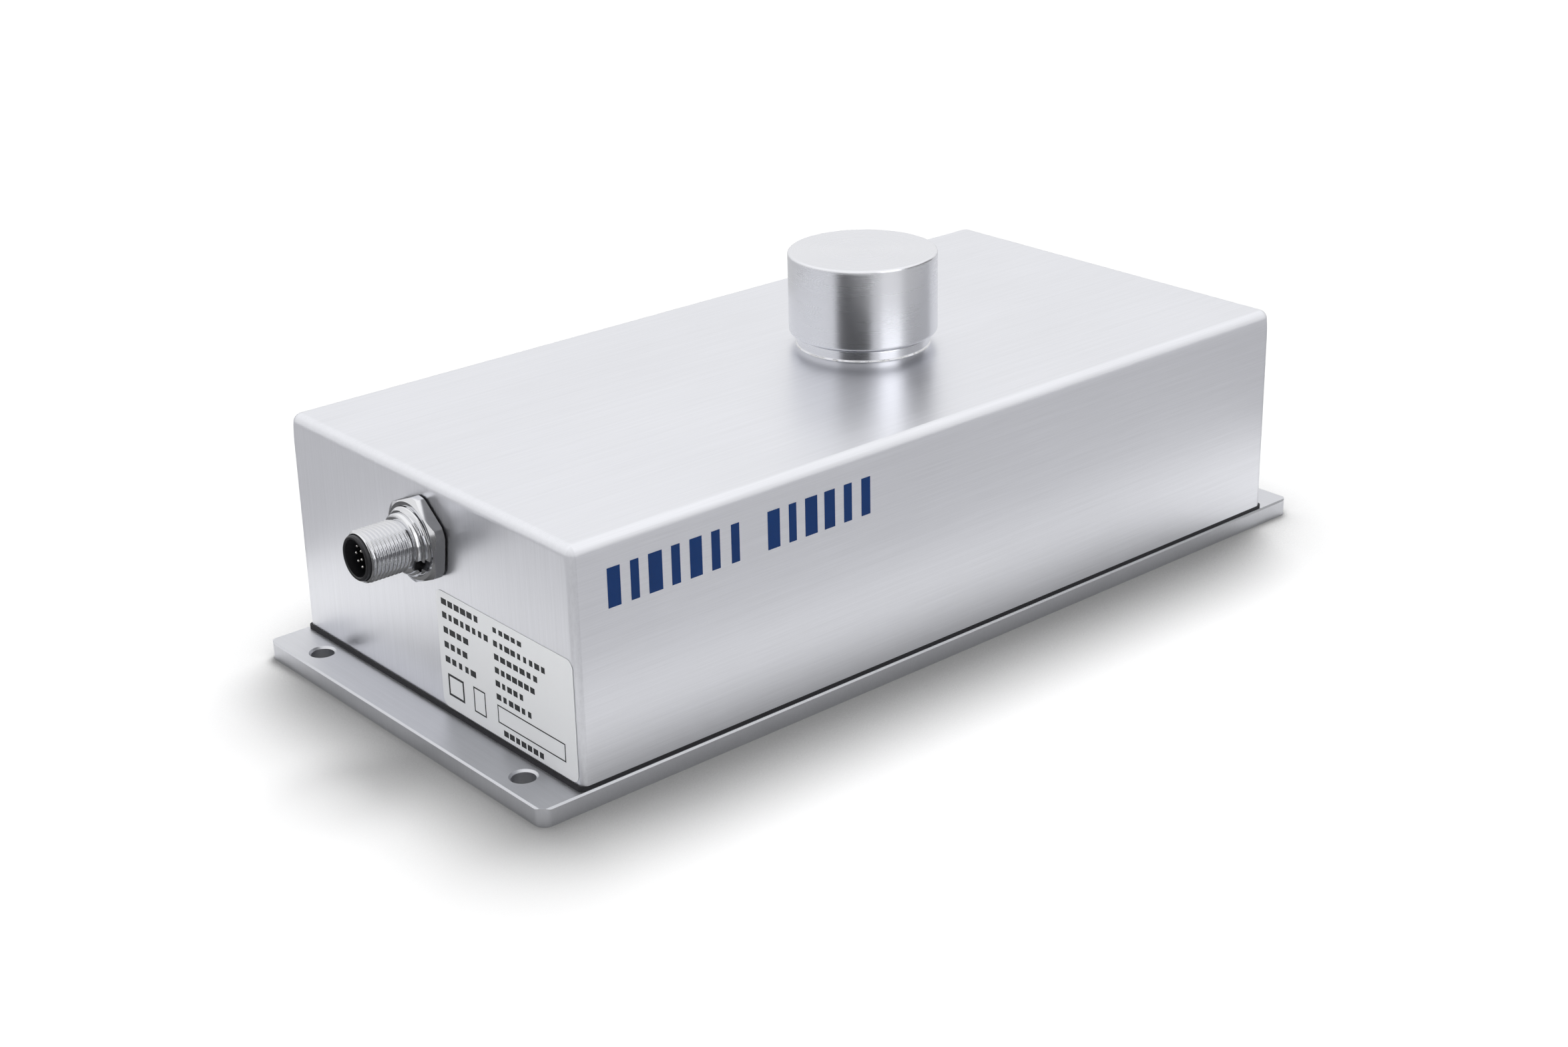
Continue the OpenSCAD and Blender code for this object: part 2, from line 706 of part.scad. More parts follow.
// One milled casting: floor, rear pillar with the lever's window, pivot post and stop ears
module cell_frame() {
    color("#b6bac0") difference() {
        union() {
            box_at(floor_x0, floor_x1, cell_w, frame_foot, floor_top);
            box_at(pillar_x0, pillar_x1, pillar_w, floor_top - fit, pillar_top);
            box_at(pivot_x - post_l / 2, pivot_x + post_l / 2, post_w, floor_top - fit, post_top);
            box_at(sensor_x - sensor_l / 2, sensor_x + sensor_l / 2, 12, floor_top - fit, floor_top + 11.6);
            both_sides() translate([load_x - 5, stop_y0, floor_top - fit]) cube([10, stop_t, stop_z - floor_top + 5.6]);
        }
        translate([pillar_x0 - cut, -window_w / 2, lever_foot - 4]) cube([pillar_t + 2 * cut, window_w, lever_h + 8]);
        both_sides() translate([pivot_x - strip_t / 2, 2, post_top - 6]) cube([strip_t, 3, 6 + cut]);
        translate([load_x, cell_w, stop_z]) rotate([90, 0, 0]) cylinder(h = 2 * cell_w, d = stop_pin_d);
        for (p = cell_screw_sites)
            translate([p[0], p[1], 0]) cylinder(h = pillar_top, d = cell_screw_d + 2 * fit);
        both_sides() for (x = [pillar_x0 + 4, pillar_x1 - 4])
            translate([x, pillar_w / 2 - 5, pillar_top - 8]) cylinder(h = 8 + cut, d = 3);
    }
}

module stop_pin() {
    color("#8d9095") translate([load_x, stop_y0 + stop_t, stop_z]) rotate([90, 0, 0])
        cylinder(h = 2 * (stop_y0 + stop_t), d = stop_pin_d);
}

// Moving system

// A parallel guide: two legs joined at both ends, with a rounded neck at each end
module guide(z) {
    x0 = pillar_x1 + clamp_gap;
    x1 = hanger_x0 - clamp_gap;
    neck_r = (guide_t - neck_t) / 2;
    color("#c2c6cb") difference() {
        box_at(x0, x1, guide_w, z - guide_t / 2, z + guide_t / 2);
        box_at(x0 + 6, x1 - 4.2, post_w + 3, z - guide_t, z + guide_t);
        for (x = [x0 + neck_r + 0.4, x1 - neck_r - 0.4], s = [-1, 1])
            translate([x, guide_w, z + s * guide_t / 2]) rotate([90, 0, 0]) cylinder(h = 2 * guide_w, r = neck_r);
    }
}

module upper_guide() guide(upper_z);

module lower_guide() guide(lower_z);

module hanger() {
    bore = stop_pin_d + 2 * stop_gap;
    arm_x1 = weight_x + 4;
    shelf_x = strip_x + strip_t / 2;
    color("#aeb2b8") difference() {
        union() {
            box_at(hanger_x0, hanger_x0 + hanger_l, hanger_w, hanger_foot, hanger_top);
            box_at(shelf_x, hanger_x0 + fit, 10, lower_z + 3, lower_z + 8);
            both_sides() translate([hanger_x0 + hanger_l - fit, arm_y, arm_top - arm_h])
                cube([arm_x1 - hanger_x0 - hanger_l + fit, arm_t, arm_h]);
        }
        translate([load_x, hanger_w, stop_z]) rotate([90, 0, 0]) cylinder(h = 2 * hanger_w, d = bore);
        translate([weight_x, hanger_w, weight_z - lift_travel]) rotate([90, 0, 0])
            cylinder(h = 2 * hanger_w, d = journal_d + 2 * seat_gap);
        box_at(hanger_x0 - cut, hanger_x0 + hanger_l + cut, 12, stop_z + 8, stop_z + 14);
    }
}

module coupling_strip() {
    z0 = lower_z + 3.4;
    color("#d0a24c") {
        box_at(strip_x - strip_t / 2, strip_x + strip_t / 2, 8, z0, lever_top - 1);
        box_at(strip_x - strip_t / 2 - 1.5, strip_x - strip_t / 2, 8, z0, z0 + 4.2);
    }
}

module pivot_strips() {
    color("#d0a24c") both_sides()
        translate([pivot_x - strip_t / 2, 2, post_top - 6]) cube([strip_t, 3, lever_top - 1 - post_top + 6]);
}

// The lever is one milled beam, with a pad over the coil and a thin vane at its far end
module lever() {
    slot = strip_t + 2 * strip_gap;
    color("#c6cad0") difference() {
        union() {
            box_at(lever_x0, nose_x, lever_w, lever_foot, lever_top);
            box_at(vane_x0, lever_x0 + fit, vane_t, lever_foot, lever_top);
            translate([coil_x, 0, lever_foot]) cylinder(h = 2, d = coil_pad_d);
        }
        both_sides() translate([pivot_x - slot / 2, 2 - strip_gap, lever_foot - cut])
            cube([slot, lever_w, lever_h + 2 * cut]);
        box_at(strip_x - slot / 2, strip_x + slot / 2, 8 + 2 * strip_gap, lever_foot - cut, lever_top + cut);
        for (i = [0 : 3])
            translate([pillar_x1 + 4 - i * 14, 0, lever_foot - cut]) cylinder(h = lever_h + 2 * cut, d = lever_w / 2);
        box_at(vane_x0 + 2, vane_x0 + 6, 2, lever_foot + lever_h / 2 - 0.4, lever_foot + lever_h / 2 + 0.4);
    }
}

// Magnet, coil and position sensor

module coil_former() {
    foot = winding_foot - 0.4;
    roof_t = 0.8;
    color("#d9c9a0") translate([coil_x, 0, 0]) difference() {
        translate([0, 0, foot]) cylinder(h = lever_foot - foot, r = winding_r);
        translate([0, 0, foot - cut]) cylinder(h = lever_foot - roof_t - foot + cut, r = former_r);
        for (a = [45 : 90 : 315])
            rotate([0, 0, a]) translate([10, 0, foot]) cylinder(h = 2 * lever_foot, r = 2.4);
    }
}

module coil_winding() {
    color("#b4622d") translate([coil_x, 0, winding_foot]) difference() {
        cylinder(h = winding_h, r = winding_r + winding_t);
        translate([0, 0, -cut]) cylinder(h = winding_h + 2 * cut, r = winding_r);
    }
}

module magnet_yoke() {
    color("#8f9398") translate([coil_x, 0, floor_top]) difference() {
        cylinder(h = yoke_h, d = yoke_d);
        translate([0, 0, yoke_floor]) cylinder(h = yoke_h, d = yoke_d - 2 * yoke_wall);
    }
}

module magnet_disc() {
    color("#6c7076") translate([coil_x, 0, floor_top + yoke_floor]) cylinder(h = magnet_t, d = magnet_d);
}

module pole_piece() {
    color("#a4a8ad") translate([coil_x, 0, pole_z]) cylinder(h = pole_h, d = pole_d);
}

module position_sensor() {
    foot = floor_top + 11.6;
    color("#222326") translate([sensor_x - sensor_l / 2, 0, foot]) {
        translate([0, -6, 0]) cube([sensor_l, 12, 4]);
        both_sides() translate([0, 2, 4 - fit]) cube([sensor_l, 4, 14 + fit]);
    }
}

// Adjustment weight and its lift

module adjustment_weight() {
    color("#cfd2d6") translate([weight_x, 0, weight_z]) rotate([90, 0, 0]) {
        translate([0, 0, -weight_l / 2]) cylinder(h = weight_l, d = weight_d);
        translate([0, 0, -journal_l / 2]) cylinder(h = journal_l, d = journal_d);
    }
}

module lift_cradle() {
    saddle = weight_d / 4;
    fork_top = weight_z + journal_d / 2;
    color("#3a3d42") difference() {
        union() {
            box_at(weight_x - saddle, weight_x + saddle, 2 * (fork_y + fork_t), cradle_z, cradle_z + cradle_t);
            box_at(weight_x, hub_x, 12, cradle_z, cradle_z + cradle_t);
            translate([hub_x, 0, cradle_z]) linear_extrude(cradle_t + 2) rounded_rect(spindle_d + 6, 2 * rod_y + rod_d + 4, 2);
            both_sides() translate([weight_x - saddle, fork_y, cradle_z]) cube([2 * saddle, fork_t, fork_top - cradle_z]);
        }
        translate([hub_x, 0, cradle_z - cut]) cylinder(h = cradle_t + 2 + 2 * cut, d = spindle_d + 2 * running_gap);
        both_sides() translate([hub_x, rod_y, cradle_z - cut])
            cylinder(h = cradle_t + 2 + 2 * cut, d = rod_d + 2 * running_gap);
        translate([weight_x, cell_w, weight_z]) rotate([90, 0, 0]) cylinder(h = 2 * cell_w, d = journal_d + 2 * fit);
        box_at(weight_x - journal_d / 2 - fit, weight_x + journal_d / 2 + fit, 2 * cell_w, weight_z, fork_top + cut);
    }
}

module lift_spindle() {
    color("#9b9ea3") translate([hub_x, 0, spindle_foot]) {
        cylinder(h = bracket_z + bracket_t - spindle_foot, d = spindle_d);
        translate([0, 0, bracket_z + bracket_t - spindle_foot]) cylinder(h = 2, d = spindle_d + 2, $fn = 6);
    }
}

module lift_rods() {
    color("#d5d7da") both_sides() translate([hub_x, rod_y, plate_t]) cylinder(h = bracket_z - plate_t, d = rod_d);
}

module lift_bracket() {
    color("#b3b6bb") difference() {
        union() {
            box_at(hub_x - motor_d / 2, bracket_x + bracket_t, bracket_w, bracket_z, bracket_z + bracket_t);
            box_at(bracket_x, bracket_x + bracket_t, bracket_w, plate_t, bracket_z + fit);
            box_at(bracket_x + bracket_t - fit, bracket_x + bracket_t + 6, bracket_w, plate_t, plate_t + bracket_t);
        }
        translate([hub_x, 0, bracket_z - cut]) cylinder(h = bracket_t + 2 * cut, d = spindle_d + 2 * running_gap);
    }
}

module lift_motor() {
    color("#c0c3c7") translate([hub_x, 0, plate_t]) cylinder(h = motor_h, d = motor_d);
}

// Electronics

module main_board() {
    color("#1f6b45") difference() {
        translate([board_x, 0, board_z]) linear_extrude(board_t) rounded_rect(board_l, board_w, 1.5);
        for (p = standoff_sites)
            translate([p[0], p[1], board_z - cut]) cylinder(h = board_t + 2 * cut, d = board_screw_d + 2 * fit);
    }
}

module board_parts() {
    top = board_z + board_t;
    color("#202225") {
        for (y = [-0.24, 0.045])
            translate([board_x - chip_l * 0.67, y * board_w, top]) cube([chip_l, chip_w, 1.6]);
        for (i = [0 : 4])
            translate([board_x + chip_l * 0.75, i * small_pitch - 0.27 * board_w, top]) cube([chip_l / 3, small_w, 1.4]);
        translate([board_x - board_l / 2 + 1, ribbon_y - 3, top]) difference() {
            cube([8, 6, ribbon_z - top + 2]);
            translate([-cut, 3 - ribbon_t / 2 - fit, ribbon_z - top - fit]) cube([8 + 2 * cut, ribbon_t + 2 * fit, 2 + cut]);
        }
        for (i = [-1 : 1])
            translate([board_x + 1.5 * i * capacitor_d, board_w / 2 - capacitor_d, top]) cylinder(h = 7, d = capacitor_d);
    }
}

module shield_can() {
    top = board_z + board_t;
    color("#cdd0d4") translate([board_x, can_y, top]) difference() {
        linear_extrude(can_h) rounded_rect(can_l, can_w, 1);
        translate([0, 0, -cut]) linear_extrude(can_h - can_t + cut)
            rounded_rect(can_l - 2 * can_t, can_w - 2 * can_t, 1 - can_t);
    }
}

module board_standoffs() {
    color("#c9a85a") for (p = standoff_sites)
        translate([p[0], p[1], plate_t]) difference() {
            cylinder(h = standoff_h, d = standoff_d / cos(30), $fn = 6);
            translate([0, 0, standoff_h - 7]) cylinder(h = 7 + cut, d = board_screw_d + 2 * fit);
        }
}

module board_screws() {
    color("#8f9297") for (p = standoff_sites)
        translate([p[0], p[1], board_z + board_t]) socket_screw(board_screw_d, 6, 5.5, 2.4);
}

base_plate();
base_gasket();
cover();
cover_blocks();
cover_screws();
load_collar();
load_pan();
pan_stem();
connector_shell();
connector_nut();
connector_seal();
connector_insert();
contact_pins();
connector_board();
signal_ribbon();
ribbon_clips();
rating_label();
cell_spacers();
cell_frame();
cell_screws();
stop_pin();
upper_guide();
lower_guide();
hanger();
coupling_strip();
lever();
pivot_strips();
coil_former();
coil_winding();
magnet_yoke();
magnet_disc();
pole_piece();
position_sensor();
adjustment_weight();
lift_cradle();
lift_spindle();
lift_rods();
lift_bracket();
lift_motor();
main_board();
board_parts();
board_standoffs();
board_screws();
shield_can();
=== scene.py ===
"""Load cell weighing module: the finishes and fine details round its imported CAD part."""

import math

import bmesh
import bpy
from mathutils import Matrix, Vector, noise


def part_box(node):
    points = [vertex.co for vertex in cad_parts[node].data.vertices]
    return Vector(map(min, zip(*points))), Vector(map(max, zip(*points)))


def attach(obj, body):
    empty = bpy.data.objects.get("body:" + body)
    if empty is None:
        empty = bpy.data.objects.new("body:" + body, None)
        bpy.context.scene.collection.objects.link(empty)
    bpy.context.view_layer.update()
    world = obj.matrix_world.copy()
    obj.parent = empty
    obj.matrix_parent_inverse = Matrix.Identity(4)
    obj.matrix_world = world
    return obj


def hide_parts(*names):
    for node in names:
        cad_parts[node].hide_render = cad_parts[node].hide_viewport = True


bl_info = {
    "name": "Load cell weighing module",
    "version": (1, 0, 0),
    "blender": (4, 5, 0),
    "location": "3D View > Sidebar > Weighing",
    "description": "Builds the finishes and fine details of a load cell weighing module",
    "category": "Object",
}

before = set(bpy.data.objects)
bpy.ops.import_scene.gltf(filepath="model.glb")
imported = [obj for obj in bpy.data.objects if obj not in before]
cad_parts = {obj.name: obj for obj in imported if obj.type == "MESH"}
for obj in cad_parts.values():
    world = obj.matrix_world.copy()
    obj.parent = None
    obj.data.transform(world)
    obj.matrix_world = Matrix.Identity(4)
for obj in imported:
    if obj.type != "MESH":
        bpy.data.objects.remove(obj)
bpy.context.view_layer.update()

MM = 0.001


def box_mm(node):
    """The lowest and highest corner of a CAD node in millimetres."""
    low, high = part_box(node)
    return low / MM, high / MM


PLATE_LOW, PLATE_HIGH = box_mm("base_plate")
COVER_LOW, COVER_HIGH = box_mm("cover")
PAN_LOW, PAN_HIGH = box_mm("load_pan")
COLLAR_LOW, COLLAR_HIGH = box_mm("load_collar")
SEAL_LOW, SEAL_HIGH = box_mm("connector_seal")
SHELL_LOW, SHELL_HIGH = box_mm("connector_shell")
LABEL_LOW, LABEL_HIGH = box_mm("rating_label")
WINDING_LOW, WINDING_HIGH = box_mm("coil_winding")
SPINDLE_LOW, SPINDLE_HIGH = box_mm("lift_spindle")
BOARD_LOW, BOARD_HIGH = box_mm("main_board")

LOAD_X = (PAN_LOW.x + PAN_HIGH.x) / 2
PLUG_Y = (SEAL_LOW.y + SEAL_HIGH.y) / 2
PLUG_Z = (SEAL_LOW.z + SEAL_HIGH.z) / 2
FACE_X = COVER_LOW.x

# Local X points up, local Y along +Y and local Z out of the connector end
PLUG = Matrix(((0, 0, -1, FACE_X), (0, 1, 0, PLUG_Y), (1, 0, 0, PLUG_Z), (0, 0, 0, 1)))
LOAD = Matrix.Translation((LOAD_X, 0, 0))


# Node trees

class Term:
    """A value in a node tree, so that maths on it reads as a Python expression."""

    def __init__(self, graph, socket):
        self.graph = graph
        self.socket = socket

    def math(self, operation, *terms):
        return self.graph.node("ShaderNodeMath", {"operation": operation}, dict(enumerate(terms)))

    def __add__(self, other):
        return self.math("ADD", self, other)

    __radd__ = __add__

    def __mul__(self, other):
        return self.math("MULTIPLY", self, other)

    __rmul__ = __mul__

    def __sub__(self, other):
        return self.math("SUBTRACT", self, other)

    def __rsub__(self, other):
        return self.math("SUBTRACT", other, self)

    def __abs__(self):
        return self.math("ABSOLUTE", self)

    def high(self, other):
        return self.math("MAXIMUM", self, other)

    def less(self, other):
        return self.math("LESS_THAN", self, other)

    def more(self, other):
        return self.math("GREATER_THAN", self, other)

    def rise(self, start, end):
        """0 below start, 1 above end and smooth between."""
        return self.graph.node("ShaderNodeMapRange", {"interpolation_type": "SMOOTHSTEP"},
                               {"Value": self, "From Min": start, "From Max": end})

    def between(self, low, high):
        """A value from low to high, by this factor."""
        return self.graph.node("ShaderNodeMix", {"data_type": "FLOAT"}, {0: self, 2: low, 3: high})

    def tint(self, low, high):
        """A colour from low to high, by this factor."""
        return self.graph.node("ShaderNodeMix", {"data_type": "RGBA"}, {0: self, 6: low, 7: high}, output=2)


class Graph:
    """A node tree under construction."""

    def __init__(self, tree):
        self.tree = tree

    def node(self, kind, settings=None, inputs=None, output=0):
        """Adds a node, its settings first, then a value or a link for each socket named or numbered."""
        made = self.tree.nodes.new(kind)
        for key, value in (settings or {}).items():
            setattr(made, key, value)
        for key, value in (inputs or {}).items():
            self.feed(made.inputs[key], value)
        return Term(self, made.outputs[output])

    def feed(self, socket, value):
        if isinstance(value, Term):
            self.tree.links.new(value.socket, socket)
        elif socket.type == "RGBA" and len(value) == 3:
            socket.default_value = (*value, 1.0)
        else:
            socket.default_value = value


class Finish(Graph):
    """A material under construction: its principled shader and what feeds it."""

    def __init__(self, name, colour, roughness, metallic=0.0, **constants):
        self.material = bpy.data.materials.new(name)
        self.material.use_nodes = True
        super().__init__(self.material.node_tree)
        self.shader = next(n for n in self.tree.nodes if n.type == "BSDF_PRINCIPLED")
        self.body = Term(self, self.shader.outputs[0])
        self.place = self.node("ShaderNodeTexCoord", output="Object")
        self.set("Base Color", colour)
        self.set("Roughness", roughness)
        self.set("Metallic", metallic)
        for key, value in constants.items():
            self.set(key.replace("_", " ").title(), value)
        self.material.diffuse_color = (*colour, 1.0)

    def set(self, name, value):
        self.feed(self.shader.inputs[name], value)

    def axes(self, vector):
        split = self.tree.nodes.new("ShaderNodeSeparateXYZ")
        self.tree.links.new(vector.socket, split.inputs[0])
        return [Term(self, socket) for socket in split.outputs]

    def point(self, x, y, z):
        return self.node("ShaderNodeCombineXYZ", inputs={0: x, 1: y, 2: z})

    def grain(self, per_mm, detail=2.0, place=None):
        """Noise with so many changes per millimetre along each axis."""
        scaled = self.node("ShaderNodeVectorMath", {"operation": "MULTIPLY"},
                           {0: place or self.place, 1: [value / MM for value in per_mm]})
        return self.node("ShaderNodeTexNoise", None, {"Vector": scaled, "Scale": 1.0, "Detail": detail})

    def show(self, factor, first, second):
        """Ends the tree in a mix of two shaders."""
        output = next(n for n in self.tree.nodes if n.type == "OUTPUT_MATERIAL")
        mixed = self.node("ShaderNodeMixShader", None, {0: factor, 1: first, 2: second})
        self.feed(output.inputs["Surface"], mixed)

    def relief(self, height, depth_mm, strength=1.0):
        """Turns the surface by the slope of a height from 0 to 1, so deep in millimetres."""
        self.set("Normal", self.node("ShaderNodeBump", None, {
            "Strength": strength, "Distance": depth_mm * MM, "Height": height}))


def shaded(colour, amount):
    return tuple(min(1.0, value * amount) for value in colour)


# Finishes

def brushed_steel(name, colour, roughness, size_mm, seam_mm=0.0, across=False):
    """Sheet or plate brushed along X, or else Y, and upright on the faces that look along X."""
    finish = Finish(name, colour, roughness, metallic=1.0)
    normal = finish.node("ShaderNodeNewGeometry", output="Normal")
    toward_x = abs(finish.axes(normal)[0]).rise(0.6, 0.8)
    fine_flat, broad_flat = (0.06, 5, 5), (0.012, 1.1, 1.1)
    if across:
        fine_flat, broad_flat = (5, 0.06, 5), (1.1, 0.015, 1.1)
    fine = toward_x.between(finish.grain(fine_flat, 3.0), finish.grain((5, 5, 0.07), 3.0))
    broad = toward_x.between(finish.grain(broad_flat, 3.0), finish.grain((1.1, 1.1, 0.02), 3.0))
    cloud = finish.grain((0.02, 0.02, 0.02), 3.0)
    tone = (fine * 0.5 + broad * 0.3 + cloud * 0.2).rise(0.25, 0.75)
    rough = (fine - 0.5) * 0.1 + (broad - 0.5) * 0.04 + (cloud - 0.5) * 0.08 + roughness
    low, high = shaded(colour, 0.94), shaded(colour, 1.04)
    if seam_mm:
        x, y, _ = finish.axes(finish.place)
        seam = (abs(x) - (size_mm.x / 2 - seam_mm) * MM).rise(0.0, 0.3 * MM)
        seam = seam * (abs(y) - (size_mm.y / 2 - seam_mm) * MM).rise(0.0, 0.3 * MM)
        scratch = finish.grain((2, 2, 0.6), 4.0)
        low = (seam * scratch.rise(0.3, 0.7)).tint(low, shaded(colour, 0.84))
        high = seam.tint(high, shaded(colour, 0.97))
        rough = rough + seam * 0.06
    finish.set("Base Color", tone.tint(low, high))
    finish.set("Roughness", rough)
    finish.relief(fine * 0.85 + broad * 0.15, 0.004, 0.5)
    return finish.material


def turned_steel(name, colour, roughness, centre_mm, axis, anisotropy):
    """Metal with the fine marks of a lathe round an axis: X through (y, z), or Z through (x, y)."""
    constants = {"anisotropic": anisotropy, "anisotropic_rotation": 0.25} if anisotropy else {}
    finish = Finish(name, colour, roughness, metallic=1.0, **constants)
    x, y, z = finish.axes(finish.place)
    a, b, along = (x, y, z) if axis == "Z" else (y, z, x)
    a, b = a - centre_mm[0] * MM, b - centre_mm[1] * MM
    squares = a * a + b * b
    radius = squares.math("SQRT", squares)
    rings = finish.point(radius, along, 0.0)
    fine = finish.grain((5, 5, 5), 2.0, rings)
    broad = finish.grain((0.9, 0.9, 0.9), 2.0, rings)
    cloud = finish.grain((0.06, 0.06, 0.06), 3.0)
    tone = (fine * 0.6 + broad * 0.4).rise(0.25, 0.75)
    finish.set("Base Color", tone.tint(shaded(colour, 0.99), shaded(colour, 1.007)))
    finish.set("Roughness", (fine - 0.5) * 0.03 + (broad - 0.5) * 0.03 + (cloud - 0.5) * 0.04 + roughness)
    finish.relief(fine * 0.8 + broad * 0.2, 0.0002, 0.08)
    return finish.material


def grained(name, colour, roughness, metallic, per_mm, depth_mm, contrast):
    """A plain finish whose colour, gloss and relief follow one grain and a cloud of wear."""
    finish = Finish(name, colour, roughness, metallic)
    if not metallic:
        finish.set("Specular IOR Level", 0.22)
    grain = finish.grain(per_mm, 3.0)
    cloud = finish.grain((0.08, 0.08, 0.08), 3.0)
    tone = (grain * 0.6 + cloud * 0.4).rise(0.25, 0.75)
    finish.set("Base Color", tone.tint(shaded(colour, 1 - contrast), shaded(colour, 1 + contrast)))
    finish.set("Roughness", (grain - 0.5) * 0.2 + (cloud - 0.5) * 0.15 + roughness)
    finish.relief(grain, depth_mm)
    return finish.material


# Name: colour, roughness, metallic, grain per millimetre along X, Y and Z, depth of the grain, contrast
GRAINED = {
    "black_rubber": ((0.012, 0.012, 0.013), 0.62, 0.0, (3, 3, 3), 0.01, 0.25),
    "black_plastic": ((0.008, 0.008, 0.009), 0.34, 0.0, (5, 5, 5), 0.004, 0.2),
    "board_green": ((0.012, 0.11, 0.05), 0.35, 0.0, (0.8, 0.8, 0.8), 0.004, 0.2),
    "label_white": ((0.93, 0.935, 0.95), 0.42, 0.0, (4, 4, 4), 0.002, 0.03),
    "ribbon_grey": ((0.34, 0.35, 0.37), 0.5, 0.0, (0.02, 0.02, 1.2), 0.12, 0.25),
    "milled_aluminium": ((0.70, 0.71, 0.73), 0.36, 1.0, (0.08, 2.2, 2.2), 0.006, 0.08),
    "spring_bronze": ((0.72, 0.47, 0.22), 0.3, 1.0, (4, 4, 0.1), 0.002, 0.08),
    "dark_steel": ((0.12, 0.12, 0.13), 0.38, 1.0, (3, 3, 3), 0.005, 0.15),
    "plain_steel": ((0.52, 0.53, 0.55), 0.3, 1.0, (3, 3, 0.6), 0.004, 0.1),
    "magnet_steel": ((0.36, 0.37, 0.40), 0.42, 1.0, (2, 2, 5), 0.008, 0.12),
    "coil_copper": ((0.62, 0.22, 0.08), 0.28, 1.0, (0.3, 0.3, 4), 0.004, 0.12),
    "former_film": ((0.62, 0.42, 0.16), 0.34, 0.0, (2, 2, 2), 0.004, 0.12),
    "print_black": ((0.02, 0.021, 0.023), 0.45, 0.0, (5, 5, 5), 0.002, 0.15),
    "chip_black": ((0.02, 0.02, 0.022), 0.5, 0.0, (4, 4, 4), 0.006, 0.2),
    "cast_steel": ((0.60, 0.61, 0.63), 0.34, 1.0, (1.5, 1.5, 1.5), 0.01, 0.1),
}

# What the inner nodes are finished with, under the cover and below the plate
INNER = {
    "cell_screws cover_screws board_screws": "dark_steel",
    "cell_frame upper_guide lower_guide hanger lever": "milled_aluminium",
    "cover_blocks cell_spacers stop_pin pan_stem lift_rods lift_bracket shield_can lift_motor": "plain_steel",
    "coupling_strip pivot_strips board_standoffs": "spring_bronze",
    "magnet_yoke magnet_disc pole_piece": "magnet_steel",
    "coil_former": "former_film",
    "adjustment_weight": "cast_steel",
    "lift_cradle position_sensor": "chip_black",
    "lift_spindle": "plain_steel",
    "main_board connector_board": "board_green",
    "board_parts": "chip_black",
    "signal_ribbon": "ribbon_grey",
    "ribbon_clips": "label_white",
    "coil_winding": "coil_copper",
}


def finish_named(name):
    """The material of that name, made when it is first asked for."""
    made = bpy.data.materials.get(name)
    if made:
        return made
    return grained(name, *GRAINED[name])


# Meshes

def linked(name, data):
    """A new object of that data, put into the scene."""
    made = bpy.data.objects.new(name, data)
    bpy.context.scene.collection.objects.link(made)
    return made


def meshed(name, points, faces):
    mesh = bpy.data.meshes.new(name)
    mesh.from_pydata(points, [], faces)
    return mesh


def smoothed(mesh, angle):
    mesh.shade_smooth()
    mesh.set_sharp_from_angle(angle=math.radians(angle))


def finished(mesh, material):
    mesh.materials.clear()
    mesh.materials.append(material)


def placed(name, mesh, material, body, replaces=()):
    """Puts a mesh in millimetres into the scene as a piece that rides on a body."""
    mesh.transform(Matrix.Scale(MM, 4))
    finished(mesh, material)
    piece = linked(name, mesh)
    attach(piece, body)
    if replaces:
        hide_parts(*replaces)
    return piece


def cleaned(mesh, gap=0.0005):
    """Joins points that coincide, drops what has no area and turns the faces outwards."""
    work = bmesh.new()
    work.from_mesh(mesh)
    bmesh.ops.remove_doubles(work, verts=work.verts, dist=gap)
    bmesh.ops.dissolve_degenerate(work, edges=work.edges, dist=gap / 5)
    bmesh.ops.delete(work, geom=[edge for edge in work.edges if not edge.link_faces], context="EDGES")
    bmesh.ops.recalc_face_normals(work, faces=work.faces)
    work.to_mesh(mesh)
    work.free()
    return mesh


def evaluated(mesh, *modifiers):
    """The mesh after modifiers, each given as a type and its settings."""
    holder = linked("work", mesh)
    for kind, settings in modifiers:
        modifier = holder.modifiers.new(kind, kind)
        for key, value in settings.items():
            if key in modifier.bl_rna.properties:
                setattr(modifier, key, value)
            else:
                modifier[key] = value
    graph = bpy.context.evaluated_depsgraph_get()
    result = bpy.data.meshes.new_from_object(holder.evaluated_get(graph), depsgraph=graph)
    bpy.data.objects.remove(holder)
    return result


def cad_mesh(node):
    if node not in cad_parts:
        raise RuntimeError(f"the packed part has no node named {node}")
    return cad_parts[node].data


def copied(node, angle=28.0):
    """A CAD node's mesh in millimetres, joined up and smooth over its round faces."""
    mesh = cad_mesh(node).copy()
    mesh.transform(Matrix.Scale(1 / MM, 4))
    normals = mesh.attributes.get("custom_normal")
    if normals:
        mesh.attributes.remove(normals)
    work = bmesh.new()
    work.from_mesh(mesh)
    bmesh.ops.remove_doubles(work, verts=work.verts, dist=0.001)
    work.to_mesh(mesh)
    work.free()
    smoothed(mesh, angle)
    return evaluated(mesh, ("WEIGHTED_NORMAL", {"weight": 100, "keep_sharp": True}))


def turned(rows, sides):
    """A closed mesh from rows of (radius, station), each a pair or a list with one pair for each side."""
    points = []
    for row in rows:
        for side in range(sides + 1):
            radius, station = row[side] if isinstance(row, list) else row
            angle = 2 * math.pi * side / sides
            points.append((radius * math.cos(angle), radius * math.sin(angle), station))
    faces = []
    for i in range(len(rows)):
        for side in range(sides):
            a, b = i * (sides + 1) + side, (i + 1) % len(rows) * (sides + 1) + side
            faces.append((a, a + 1, b + 1, b))
    return cleaned(meshed("turned", points, faces))


